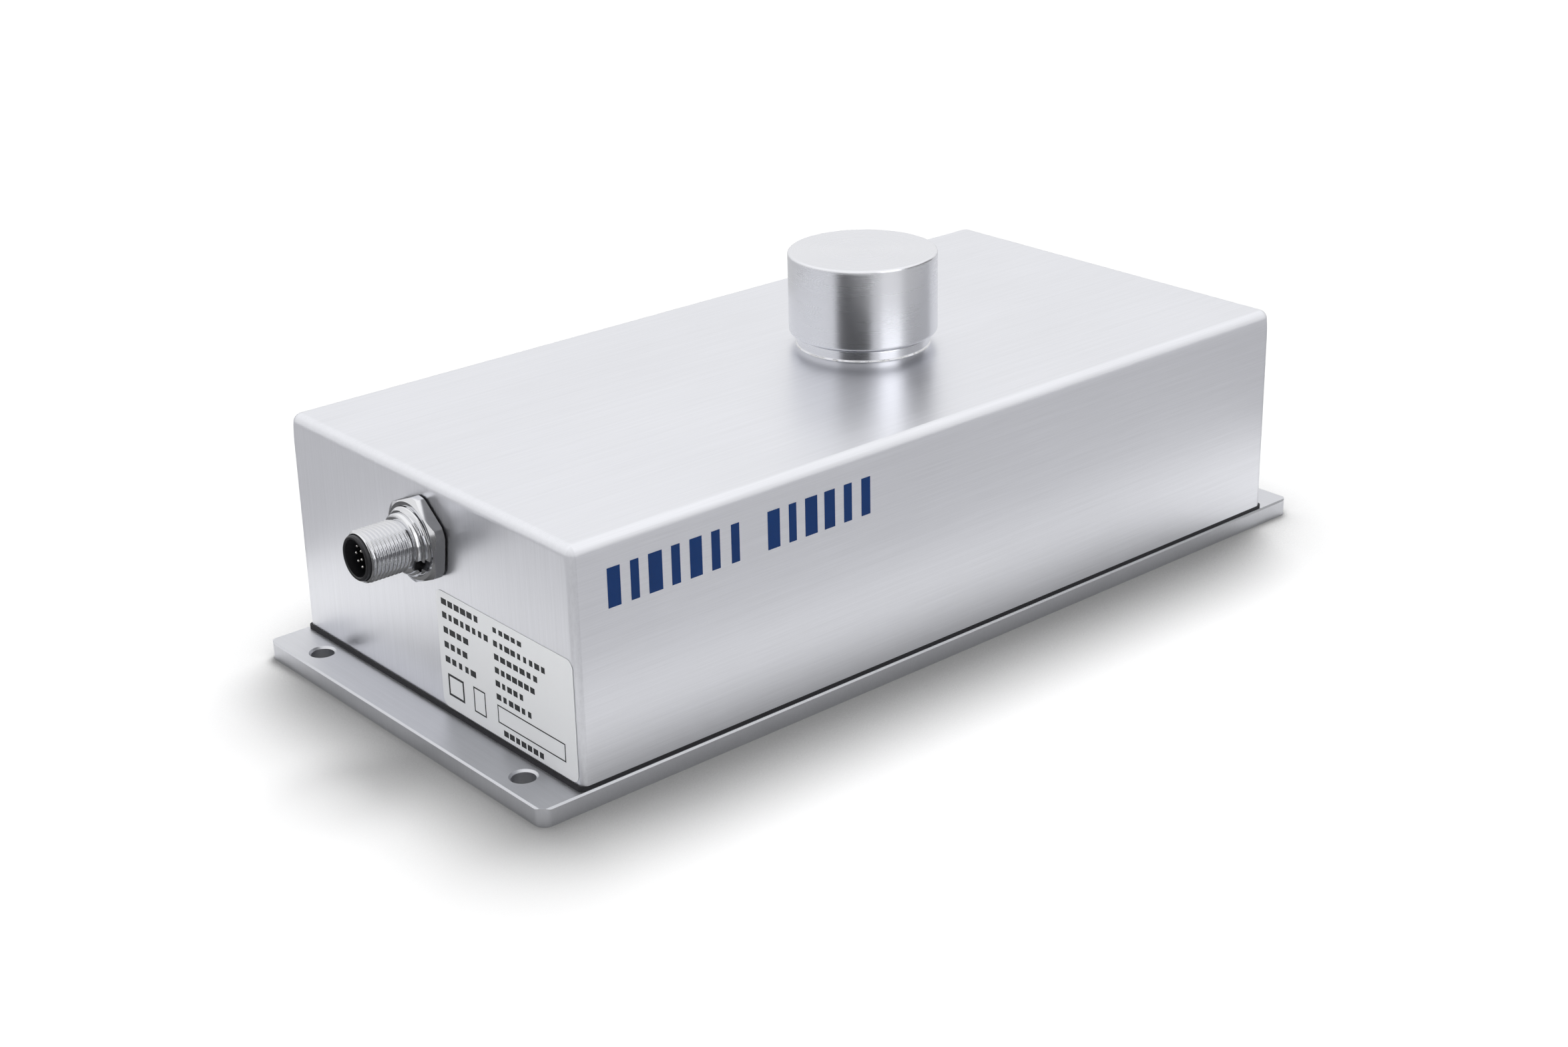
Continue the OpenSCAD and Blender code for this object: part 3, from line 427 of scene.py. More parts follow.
def arc(radius, station, bend, start, end, steps=8):
    """Points of a rounded edge in a turned section, with its angles in degrees from the outward direction."""
    turns = [math.radians(start + (end - start) * i / steps) for i in range(steps + 1)]
    return [(radius + bend * math.cos(turn), station + bend * math.sin(turn)) for turn in turns]


def boxes(extents):
    """One mesh of separate boxes, each given as its lowest and highest corner."""
    points, faces = [], []
    for low, high in extents:
        base = len(points)
        points += [(x, y, z) for x in (low[0], high[0]) for y in (low[1], high[1]) for z in (low[2], high[2])]
        sides = ((0, 1, 3, 2), (4, 6, 7, 5), (0, 4, 5, 1), (2, 3, 7, 6), (0, 2, 6, 4), (1, 5, 7, 3))
        faces += [tuple(base + corner for corner in side) for side in sides]
    return meshed("boxes", points, faces)


def outline(half_x, half_y, corner, steps=8):
    """Points round a rectangle with round corners, seen from above."""
    points = []
    for quarter, (side_x, side_y) in enumerate(((1, 1), (-1, 1), (-1, -1), (1, -1))):
        for i in range(steps + 1):
            turn = math.pi / 2 * (quarter + i / steps)
            points.append((side_x * (half_x - corner) + corner * math.cos(turn),
                           side_y * (half_y - corner) + corner * math.sin(turn)))
    return points


def stacked(rings):
    """A closed mesh through rings, each given as its height and its points, with a cap at both ends."""
    points = [(x, y, z) for z, ring in rings for x, y in ring]
    count, last = len(rings[0][1]), (len(rings) - 1) * len(rings[0][1])
    faces = [tuple(reversed(range(count))), tuple(range(last, last + count))]
    for start in range(0, last, count):
        for j in range(count):
            k = (j + 1) % count
            faces.append((start + j, start + k, start + count + k, start + count + j))
    return cleaned(meshed("stacked", points, faces))


def carved(mesh, *cutters, operation="DIFFERENCE"):
    """The mesh less each cutter, or only what it shares with each."""
    for cutter in cutters:
        tool = linked("cutter", cleaned(cutter))
        mesh = evaluated(mesh, ("BOOLEAN", {"operation": operation, "solver": "EXACT", "object": tool}))
        bpy.data.objects.remove(tool)
    return mesh


def rod(radius, start, end, place, sides=96):
    """A round bar along the local Z of a place."""
    mesh = turned([(0, start), (radius, start), (radius, end), (0, end)], sides)
    mesh.transform(place)
    return mesh


def joined(*meshes):
    """One mesh of several."""
    work = bmesh.new()
    for mesh in meshes:
        work.from_mesh(mesh)
    result = bpy.data.meshes.new("joined")
    work.to_mesh(result)
    work.free()
    return result


# Threads

def threaded_rows(start, end, radius, pitch, depth, bevel, sides, steps=12):
    """Rows that follow the helix of a right-hand thread from one station to another."""
    rows = []
    for k in range(int((end - start) / pitch * steps) + steps + 2):
        row = []
        for side in range(sides + 1):
            turn = side / sides
            station = min(end, max(start, start + (k / steps - 1 + turn) * pitch))
            phase = (station / pitch - turn) % 1.0
            away = abs(phase - 0.5) * 2
            cut = min(1.0, max(0.0, (away - 0.14) / 0.66)) * depth
            crest = min(radius, radius - bevel + min(station - start, end - station))
            row.append((min(crest, radius - cut), station))
        rows.append(row)
    return rows


# Trees that repeat a form

SOCKETS = {int: "Int", float: "Float", tuple: "Vector", type(None): "Material"}


def shape_tree(name, inputs):
    """An empty geometry node tree with named inputs, each given by its value, or by None for a material."""
    tree = bpy.data.node_groups.new(name, "GeometryNodeTree")
    for label, value in inputs.items():
        kind = "NodeSocket" + SOCKETS[type(value)]
        socket = tree.interface.new_socket(name=label, in_out="INPUT", socket_type=kind)
        if value is not None:
            socket.default_value = value
    tree.interface.new_socket(name="Geometry", in_out="OUTPUT", socket_type="NodeSocketGeometry")
    graph = Graph(tree)
    source = tree.nodes.new("NodeGroupInput")
    return graph, {label: Term(graph, source.outputs[label]) for label in inputs}


def end_tree(graph, instances, material):
    """Realizes the instances, gives them their material and ends the tree."""
    real = graph.node("GeometryNodeRealizeInstances", None, {0: instances})
    ended = graph.node("GeometryNodeSetMaterial", None, {"Geometry": real, "Material": material})
    out = graph.tree.nodes.new("NodeGroupOutput")
    graph.tree.links.new(ended.socket, out.inputs[0])
    return graph.tree


def ring_tree():
    """Rings stacked along Z, for turns of wire and the ridges of a thread."""
    graph, given = shape_tree("stacked_rings", {
        "Count": 10, "Pitch": 0.5, "Radius": 5.0, "Wire": 0.2, "Sides": 48, "Material": None})
    ring = graph.node("GeometryNodeCurvePrimitiveCircle", None,
                      {"Resolution": given["Sides"], "Radius": given["Radius"]})
    wire = graph.node("GeometryNodeCurvePrimitiveCircle", None, {"Resolution": 8, "Radius": given["Wire"]})
    turn = graph.node("GeometryNodeCurveToMesh", None, {0: ring, 1: wire})
    step = graph.node("ShaderNodeCombineXYZ", None, {2: given["Pitch"]})
    line = graph.node("GeometryNodeMeshLine", None, {"Count": given["Count"], "Offset": step})
    stack = graph.node("GeometryNodeInstanceOnPoints", None, {"Points": line, "Instance": turn})
    return end_tree(graph, stack, given["Material"])


def bar_tree():
    """A row of bars along X, each of its own length, for print and for board tracks."""
    graph, given = shape_tree("row_of_bars", {
        "Count": 6, "Pitch": 5.0, "Size": (4.0, 1.0, 0.1), "Shortest": 0.5, "Seed": 1, "Material": None})
    bar = graph.node("GeometryNodeMeshCube", None, {"Size": given["Size"]})
    step = graph.node("ShaderNodeCombineXYZ", None, {0: given["Pitch"]})
    line = graph.node("GeometryNodeMeshLine", None, {"Count": given["Count"], "Offset": step})
    share = graph.node("FunctionNodeRandomValue", {"data_type": "FLOAT"},
                       {2: given["Shortest"], 3: 1.0, 8: given["Seed"]}, output=1)
    scale = graph.node("ShaderNodeCombineXYZ", None, {0: share, 1: 1.0, 2: 1.0})
    row = graph.node("GeometryNodeInstanceOnPoints", None, {"Points": line, "Instance": bar, "Scale": scale})
    return end_tree(graph, row, given["Material"])


def grown(maker, settings):
    """The plain mesh that a tree makes with these settings, each named as the tree's input."""
    tree = bpy.data.node_groups.get(maker.__name__) or maker()
    tree.name = maker.__name__
    values = {"node_group": tree}
    for socket in tree.interface.items_tree:
        if socket.in_out == "INPUT" and socket.name in settings:
            values[socket.identifier] = settings[socket.name]
    return evaluated(bpy.data.meshes.new("seed"), ("NODES", values))


# Settings

def colour_setting(label, text, default):
    return bpy.props.FloatVectorProperty(name=label, description=text, subtype="COLOR", size=3, min=0, max=1,
                                         default=default)


def share_setting(label, text, default, least=0.05):
    return bpy.props.FloatProperty(name=label, description=text, subtype="FACTOR", min=least, max=1,
                                   default=default)


def length_setting(label, text, default, least, most):
    return bpy.props.FloatProperty(name=label, description=text, unit="LENGTH", min=least, max=most,
                                   default=default)


def angle_setting(label, text, degrees):
    return bpy.props.FloatProperty(name=label, description=text, subtype="ANGLE",
                                   default=math.radians(degrees))


class HousingLook(bpy.types.PropertyGroup):
    """Colours and gloss of the housing."""

    sheet: colour_setting("Sheet", "Colour of the brushed sheet", (0.765, 0.773, 0.81))
    plate: colour_setting("Plate", "Colour of the base plate", (0.64, 0.648, 0.68))
    pan: colour_setting("Load pan", "Colour of the turned steel", (0.77, 0.777, 0.81))
    sheet_roughness: share_setting("Sheet roughness", "How soft the sheet's reflections are", 0.33)
    plate_roughness: share_setting("Plate roughness", "How soft the plate's reflections are", 0.42)
    pan_roughness: share_setting("Pan roughness", "How soft the pan's reflections are", 0.27)
    pan_grain: share_setting("Pan grain", "How far the lathe's marks draw out reflections", 0.75, 0.0)
    seam_width: length_setting("Seam width", "Width of the ground weld on the upright corners",
                               0.0018, 0.0005, 0.004)
    weld_radius: length_setting("Weld radius", "Radius of the weld bead round the collar", 0.00036, 0.0002,
                                0.0008)


class ConnectorLook(bpy.types.PropertyGroup):
    """Sizes and colour of the connector's threads."""

    metal: colour_setting("Metal", "Colour of the plated shell and nut", (0.75, 0.755, 0.775))
    roughness: share_setting("Roughness", "How soft the metal's reflections are", 0.13)
    mating_pitch: length_setting("Mating pitch", "Pitch of the mating thread", 0.001, 0.0005, 0.002)
    panel_pitch: length_setting("Panel pitch", "Pitch of the panel thread", 0.0015, 0.0005, 0.002)
    sides: bpy.props.IntProperty(
        name="Sides", description="Facets round each thread", min=48, max=192, default=176)


class PrintLook(bpy.types.PropertyGroup):
    """Sizes and colour of the plain print on the long side."""

    ink: colour_setting("Ink", "Colour of the print", (0.0, 0.038, 0.18))
    start: length_setting("Start", "Distance of the print from the connector end", 0.008, 0, 0.1)
    length: length_setting("Length", "Length of the print", 0.0759, 0.01, 0.15)
    height: length_setting("Height", "Height of the print", 0.009, 0.002, 0.02)
    foot: length_setting("Foot", "Height of the print's lower edge", 0.0439, 0, 0.06)
    bars: bpy.props.IntProperty(name="Bars", description="Number of plain bars", min=1, max=30, default=13)


class StudioLook(bpy.types.PropertyGroup):
    """Light and camera."""

    sky: bpy.props.FloatProperty(
        name="Sky", description="Level of the even light", min=0, max=2, default=0.28)
    key: bpy.props.FloatProperty(
        name="Key", description="Level of the soft key light", min=0, max=10, default=3.55)
    key_size: bpy.props.FloatProperty(
        name="Key size", description="Angle that the key light takes up", subtype="ANGLE", min=0.1, max=2,
        default=0.55)
    floor: colour_setting("Floor", "Colour of the floor", (0.83, 0.83, 0.83))
    lens: bpy.props.FloatProperty(
        name="Lens", description="Focal length of the camera in millimetres", min=20, max=200, default=54.65)
    stand: bpy.props.FloatVectorProperty(
        name="Stand", description="Place of the camera", subtype="TRANSLATION", size=3,
        default=(-0.36396, -0.41844, 0.25070))
    bearing: angle_setting("Bearing", "Turn of the view from +Y towards +X", 40.47)
    dip: angle_setting("Dip", "Tilt of the view below the horizon", 21.0)
    roll: angle_setting("Roll", "Turn of the view about its own line", -1.3013)
    shift: bpy.props.FloatProperty(
        name="Shift", description="Upward shift of the frame", min=-1, max=1, default=-121.5 / 2349)


class ModuleLook(bpy.types.PropertyGroup):
    """All settings of the weighing module."""

    housing: bpy.props.PointerProperty(type=HousingLook)
    connector: bpy.props.PointerProperty(type=ConnectorLook)
    print: bpy.props.PointerProperty(type=PrintLook)
    studio: bpy.props.PointerProperty(type=StudioLook)


def look():
    return bpy.context.scene.weighing_look


# Steps

class Step:
    """What every step shares: it does its work and reports that it is done."""

    def execute(self, context):
        self.build()
        return {"FINISHED"}


class PlateStep(Step, bpy.types.Operator):
    """Finish the base plate and its gasket"""

    bl_idname = "weighing.plate"
    bl_label = "Base plate"

    def build(self):
        own = look().housing
        steel = brushed_steel("plate_steel", tuple(own.plate), own.plate_roughness, PLATE_HIGH - PLATE_LOW,
                              across=True)
        placed("mounting_plate", copied("base_plate"), steel, "housing", ["base_plate"])
        rubber = finish_named("black_rubber")
        placed("rubber_gasket", copied("base_gasket"), rubber, "housing", ["base_gasket"])


class CoverStep(Step, bpy.types.Operator):
    """Finish the folded cover"""

    bl_idname = "weighing.cover"
    bl_label = "Cover"

    def build(self):
        own = look().housing
        steel = brushed_steel("sheet_steel", tuple(own.sheet), own.sheet_roughness, COVER_HIGH - COVER_LOW,
                              own.seam_width / MM)
        placed("folded_cover", self.shell(), steel, "housing", ["cover"])

    def shell(self):
        """The folded sheet with its welded corners ground round where three faces meet."""
        bend, corner, sheet, blend = 2.4, 1.8, 1.5, 5.0
        half_x, half_y = (COVER_HIGH.x - COVER_LOW.x) / 2, (COVER_HIGH.y - COVER_LOW.y) / 2
        foot, top = COVER_LOW.z, COVER_HIGH.z
        square = outline(half_x, half_y, corner)
        rings = [(foot, square), (top - bend - blend, square)]
        for i in range(1, 5):
            share = i / 4
            rings.append((top - bend - blend * (1 - share),
                          outline(half_x, half_y, corner + (bend - corner) * share * share)))
        for i in range(1, 11):
            turn = math.pi / 2 * i / 10
            inset = bend * (1 - math.cos(turn))
            rings.append((top - bend * (1 - math.sin(turn)),
                          outline(half_x - inset, half_y - inset, max(bend - inset, 0.02))))
        room = [(z, outline(half_x - sheet, half_y - sheet, 0.5)) for z in (foot - 2, top - sheet)]
        mesh = carved(stacked(rings), stacked(room), rod(8.0, top - 8, top + 8, LOAD), rod(8.05, -6, 4, PLUG))
        smoothed(mesh, 30)
        return evaluated(mesh, ("WEIGHTED_NORMAL", {"weight": 100, "keep_sharp": True}))


class PrintStep(Step, bpy.types.Operator):
    """Lay the plain print on the long side"""

    bl_idname = "weighing.side_print"
    bl_label = "Side print"

    def build(self):
        own = look().print
        ink = grained("print_blue", tuple(own.ink), 0.55, 0.0, (5, 5, 5), 0.002, 0.12)
        pitch = own.length / MM / (own.bars + 1)
        height = own.height / MM
        thick, inked = 0.04, 0.72
        left = own.bars - own.bars // 2
        rows = []
        for count, first in ((left, 0), (own.bars - left, left + 1)):
            row = grown(bar_tree, {"Count": count, "Pitch": pitch, "Size": (pitch * inked, thick, height),
                                   "Shortest": 0.5, "Seed": 4 + first, "Material": ink})
            row.transform(Matrix.Translation((COVER_LOW.x + own.start / MM + pitch * (first + 0.5),
                                              COVER_LOW.y - thick / 2, own.foot / MM + height / 2)))
            rows.append(row)
        placed("side_print", joined(*rows), ink, "housing")


class PanStep(Step, bpy.types.Operator):
    """Turn the load pan and its collar, and weld the collar"""

    bl_idname = "weighing.load_pan"
    bl_label = "Load pan"

    def build(self):
        own = look().housing
        steel = turned_steel("turned_steel", tuple(own.pan), own.pan_roughness, (LOAD_X, 0), "Z",
                             own.pan_grain)
        self.pan(steel)
        self.collar(steel)
        self.weld(own.weld_radius / MM)

    def pan(self, steel):
        outer, foot, top = (PAN_HIGH.x - PAN_LOW.x) / 2, PAN_LOW.z, PAN_HIGH.z
        cone_foot, cone_top, socket, hub = COLLAR_HIGH.z - 4, COLLAR_HIGH.z + 8, 5.0, 7.0
        cavity, cavity_top = 12.5, COLLAR_HIGH.z + 3
        foot_bend, top_bend = 0.9, 0.6
        section = [(0, cone_top), (socket - 0.6, cone_top), (socket, cone_foot), (hub, cone_foot),
                   (hub, cavity_top), (cavity, cavity_top), (cavity, foot), (outer - foot_bend - 0.2, foot)]
        section += arc(outer - foot_bend, foot + foot_bend, foot_bend, -90, 0)
        section += [(outer, foot + foot_bend + 0.3), (outer, top - top_bend - 0.3)]
        section += arc(outer - top_bend, top - top_bend, top_bend, 0, 90)
        section += [(outer - top_bend - 0.3, top), (0, top)]
        mesh = turned(section, 192)
        smoothed(mesh, 30)
        mesh.transform(LOAD)
        placed("turned_pan", mesh, steel, "load_receiver", ["load_pan"])

    def collar(self, steel):
        base, top = COLLAR_LOW.z, COLLAR_HIGH.z
        foot = (COLLAR_HIGH.x - COLLAR_LOW.x) / 2
        outer, tube, bore, step, bend = foot - 0.3, 9.5, 8, 2.6, 0.4
        section = [(bore, base), (foot, base), (outer, base + 0.4), (outer, base + step - bend - 0.1)]
        section += arc(outer - bend, base + step - bend, bend, 0, 90, 5)
        section += [(outer - bend - 0.2, base + step), (tube, base + step), (tube, top - 0.3)]
        section += [(tube - 0.3, top), (bore, top)]
        mesh = turned(section, 160)
        smoothed(mesh, 30)
        mesh.transform(LOAD)
        placed("turned_collar", mesh, steel, "housing", ["load_collar"])

    def weld(self, bead):
        around, across, ring = 300, 10, (COLLAR_HIGH.x - COLLAR_LOW.x) / 2 - 0.4
        points, faces = [], []
        for i in range(around):
            turn = 2 * math.pi * i / around
            place = Vector((math.cos(turn), math.sin(turn), 0)) * 14
            swell = bead * (1 + 0.28 * noise.noise(place) + 0.16 * noise.noise(place * 4))
            drift = 0.12 * noise.noise(place * 0.6 + Vector((7, 3, 1)))
            for j in range(across):
                side = 2 * math.pi * j / across
                reach = ring + drift + swell * math.cos(side)
                points.append((LOAD_X + reach * math.cos(turn), reach * math.sin(turn),
                               COLLAR_LOW.z + 0.03 + swell * 0.8 * math.sin(side)))
                a, b = i * across, (i + 1) % around * across
                k = (j + 1) % across
                faces.append((a + j, b + j, b + k, a + k))
        mesh = cleaned(meshed("weld", points, faces))
        smoothed(mesh, 60)
        metal = grained("weld_metal", (0.72, 0.72, 0.72), 0.3, 1.0, (2, 2, 2), 0.02, 0.12)
        placed("collar_weld", mesh, metal, "housing")


class ConnectorStep(Step, bpy.types.Operator):
    """Cut the connector's threads and finish its nut, insert and contacts"""

    bl_idname = "weighing.connector"
    bl_label = "Connector"

    def build(self):
        own = look().connector
        metal = turned_steel("connector_metal", tuple(own.metal), own.roughness, (PLUG_Y, PLUG_Z), "X", 0.0)
        for name, mesh, material, slot, node in (
                ("threaded_shell", self.shell(own), metal, "connector_metal", "connector_shell"),
                ("panel_nut", self.nut(), metal, "connector_metal", "connector_nut"),
                ("socket_insert", copied("connector_insert"), finish_named("black_plastic"), "black_plastic",
                 "connector_insert"),
                ("socket_contacts", copied("contact_pins", 40), self.contact_metal(), "gold_contact",
                 "contact_pins"),
                ("panel_seal", self.seal(), finish_named("black_rubber"), "black_rubber", "connector_seal")):
            placed(name, mesh, material, "housing", [node])

    def nut(self):
        """The hexagon nut, turned at its front corners and flat at its back."""
        low, high = box_mm("connector_nut")
        corner, flats, thick, bevel, bore, twist = 10.2, 18.6, high.x - low.x, 1.2, 8.05, 52
        across = flats / 2 / math.cos(math.pi / 6)
        hexagon = turned([(0, 0), (across, 0), (across, thick), (0, thick)], 6)
        hexagon.transform(Matrix.Rotation(math.radians(twist), 4, "Z"))
        shoulder = thick - bevel * math.tan(math.pi / 6)
        ring = turned([(bore, -0.1), (corner - 0.1, 0.0), (corner, 0.1), (corner, shoulder),
                       (corner - bevel, thick), (bore, thick + 0.1)], 180)
        mesh = carved(ring, hexagon, operation="INTERSECT")
        smoothed(mesh, 14)
        mesh.transform(PLUG @ Matrix.Translation((0, 0, FACE_X - high.x)))
        return mesh

    def contact_metal(self):
        """Gold contacts with painted light: pale tips that stand in for their highlight, and shafts painted
        dark as the shade of the socket.
        """
        finish = Finish("gold_contact", (0.9, 0.87, 0.8), 0.25, metallic=1.0)
        tips = box_mm("contact_pins")[0].x * MM
        # Painted highlight and painted shade: the tips are paler than the gold, and the shafts behind them
        # are painted dark as if in the socket's shade
        painted_socket_shade = finish.axes(finish.place)[0].rise(tips + 0.2 * MM, tips + 0.7 * MM)
        grain = finish.grain((2, 6, 6), 3.0)
        painted_dark_shaft = grain.tint((0.10, 0.085, 0.05), (0.16, 0.13, 0.08))
        finish.set("Base Color", painted_socket_shade.tint((0.98, 0.96, 0.93), painted_dark_shaft))
        finish.set("Roughness", (grain - 0.5) * 0.1 + 0.25)
        finish.relief(grain, 0.002)
        return finish.material

    def seal(self):
        """The seal under the nut, its outer edge rounded."""
        outer, bore, thick = (SEAL_HIGH.y - SEAL_LOW.y) / 2, 8.1, SEAL_HIGH.x - SEAL_LOW.x
        section = [(bore, 0.02), (outer - 0.55, 0.02), (outer - 0.3, thick / 2), (outer - 0.55, thick),
                   (bore, thick)]
        mesh = turned(section, 120)
        smoothed(mesh, 60)
        mesh.transform(PLUG)
        return mesh

    def shell(self, own):
        """The shell with both threads, along its own axis, then cut by the keyway and set in place."""
        bore, back, out = 5.2, FACE_X - SHELL_HIGH.x, FACE_X - SHELL_LOW.x
        flange, panel, shoulder, relief = 10.5, 8.0, 6.9, 5.4
        panel_out, shoulder_out, relief_out = 4.9, 6.0, 6.4
        flange_back, flange_front = -3.5, -1.5
        slot_foot, slot_half, slot_back, slot_turn = 5.8, 1.6, 1.7, -121
        rows = [(bore, back), (panel, back), (panel, flange_back), (flange - 0.3, flange_back),
                (flange, flange_back + 0.3), (flange, flange_front)]
        rows += threaded_rows(flange_front, panel_out, panel, own.panel_pitch / MM, 0.85, 0.6, own.sides)
        rows += [(shoulder, panel_out), (shoulder, shoulder_out - 0.25), (shoulder - 0.25, shoulder_out)]
        rows += [(relief, shoulder_out), (relief, relief_out)]
        rows += threaded_rows(relief_out, out, 6.0, own.mating_pitch / MM, 0.56, 0.55, own.sides)
        rows += [(bore + 0.15, out), (bore, out - 0.15)]
        mesh = turned(rows, own.sides)
        slot = boxes([((slot_foot, -slot_half, slot_back), (12.0, slot_half, shoulder_out + 0.5))])
        slot.transform(Matrix.Rotation(math.radians(slot_turn), 4, "Z"))
        cut = carved(mesh, slot)
        smoothed(cut, 48)
        cut.transform(PLUG)
        return cut


class LabelStep(Step, bpy.types.Operator):
    """Finish the label and lay its plain fields"""

    bl_idname = "weighing.label"
    bl_label = "Label"

    # Rows of plain bars: distance from the left edge, height above the foot, count, pitch, bar height
    ROWS = ((1.8, 26.2, 6, 2.5, 1.5), (1.8, 22.9, 8, 2.3, 1.5), (1.8, 19.3, 4, 2.6, 1.5),
            (1.8, 15.7, 4, 2.4, 1.5), (1.8, 12.1, 5, 2.5, 1.5), (21.5, 26.0, 5, 2.3, 1.2),
            (21.5, 22.8, 9, 2.2, 1.4), (21.5, 19.6, 7, 2.4, 1.4), (21.5, 16.4, 7, 2.2, 1.4),
            (21.5, 13.2, 5, 2.2, 1.4), (21.5, 10.0, 6, 2.3, 1.4), (23.5, 1.7, 7, 2.2, 1.4))

    # Empty fields: left edge, foot, width, height and width of line
    FIELDS = ((2.6, 3.2, 6.2, 5.4, 0.55), (12.6, 2.8, 4.6, 6.2, 0.35), (21.8, 3.6, 25.0, 4.4, 0.3))

    def build(self):
        white, black = finish_named("label_white"), finish_named("print_black")
        placed("label_film", copied("rating_label"), white, "housing", ["rating_label"])
        thick = 0.02
        rows = []
        for index, (start, rise, count, pitch, height) in enumerate(self.ROWS):
            row = grown(bar_tree, {"Count": count, "Pitch": pitch, "Size": (pitch * 0.86, thick, height),
                                   "Shortest": 0.55, "Seed": index + 3, "Material": black})
            row.transform(Matrix.Translation((start + pitch / 2, 0, rise)))
            rows.append(row)
        rows += [boxes(self.edges(*field, thick)) for field in self.FIELDS]
        fields = joined(*rows)
        # Seen from outside, the label's own X runs towards -Y
        fields.transform(Matrix(((0, 1, 0, LABEL_LOW.x - thick / 2), (-1, 0, 0, LABEL_HIGH.y),
                                 (0, 0, 1, LABEL_LOW.z), (0, 0, 0, 1))))
        placed("label_fields", fields, black, "housing")

    def edges(self, x, z, width, height, line, thick):
        """The four bars of an empty field."""
        right, top = x + width, z + height
        spans = ((x, z, right, z + line), (x, top - line, right, top), (x, z + line, x + line, top - line),
                 (right - line, z + line, right, top - line))
        return [((x0, -thick / 2, z0), (x1, thick / 2, z1)) for x0, z0, x1, z1 in spans]


class CellStep(Step, bpy.types.Operator):
    """Finish every inner piece of the cell, its lift and its electronics"""

    bl_idname = "weighing.cell"
    bl_label = "Weigh cell"

    def build(self):
        for names, finish in INNER.items():
            for name in names.split():
                finished(cad_mesh(name), finish_named(finish))


class WindingStep(Step, bpy.types.Operator):
    """Lay the turns of the coil and the ridges of the lift's spindle"""

    bl_idname = "weighing.windings"
    bl_label = "Windings"

    def build(self):
        wire, turns = 0.24, 12
        pitch = (WINDING_HIGH.z - WINDING_LOW.z) / turns
        radius = (WINDING_HIGH.x - WINDING_LOW.x) / 2 - wire + 0.06
        self.rings("coil_turns", "coil_copper", "lever_arm", (WINDING_LOW + WINDING_HIGH) / 2,
                   WINDING_LOW.z + pitch / 2, turns, pitch, radius, wire, 96)
        ridge, pitch, start = 0.14, 0.5, SPINDLE_LOW.z + 1
        count = int((SPINDLE_HIGH.z - 5.5 - start) / pitch)
        self.rings("spindle_ridges", "plain_steel", "lift_screw", (SPINDLE_LOW + SPINDLE_HIGH) / 2,
                   start, count, pitch, 2.5 - ridge / 3, ridge, 32)

    def rings(self, name, finish, body, middle, start, count, pitch, radius, wire, sides):
        """Rings stacked round an upright axis."""
        material = finish_named(finish)
        mesh = grown(ring_tree, {"Count": count, "Pitch": pitch, "Radius": radius, "Wire": wire,
                                 "Sides": sides, "Material": material})
        mesh.transform(Matrix.Translation((middle.x, middle.y, start)))
        smoothed(cleaned(mesh), 60)
        placed(name, mesh, material, body)


class TrackStep(Step, bpy.types.Operator):
    """Lay tracks on the main board"""

    bl_idname = "weighing.tracks"
    bl_label = "Board tracks"

    def build(self):
        copper = grained("track_green", (0.03, 0.2, 0.09), 0.3, 0.0, (3, 3, 3), 0.002, 0.15)
        first, apart, thick = -30, 4.1, 0.04
        rows = []
        for index in range(16):
            row = grown(bar_tree, {"Count": 3, "Pitch": 8.5, "Size": (7.4, 0.5, thick), "Shortest": 0.4,
                                   "Seed": index, "Material": copper})
            place = (BOARD_LOW.x + 8, first + apart * index, BOARD_HIGH.z + thick / 2)
            row.transform(Matrix.Translation(place))
            rows.append(row)
        placed("board_tracks", joined(*rows), copper, "housing")


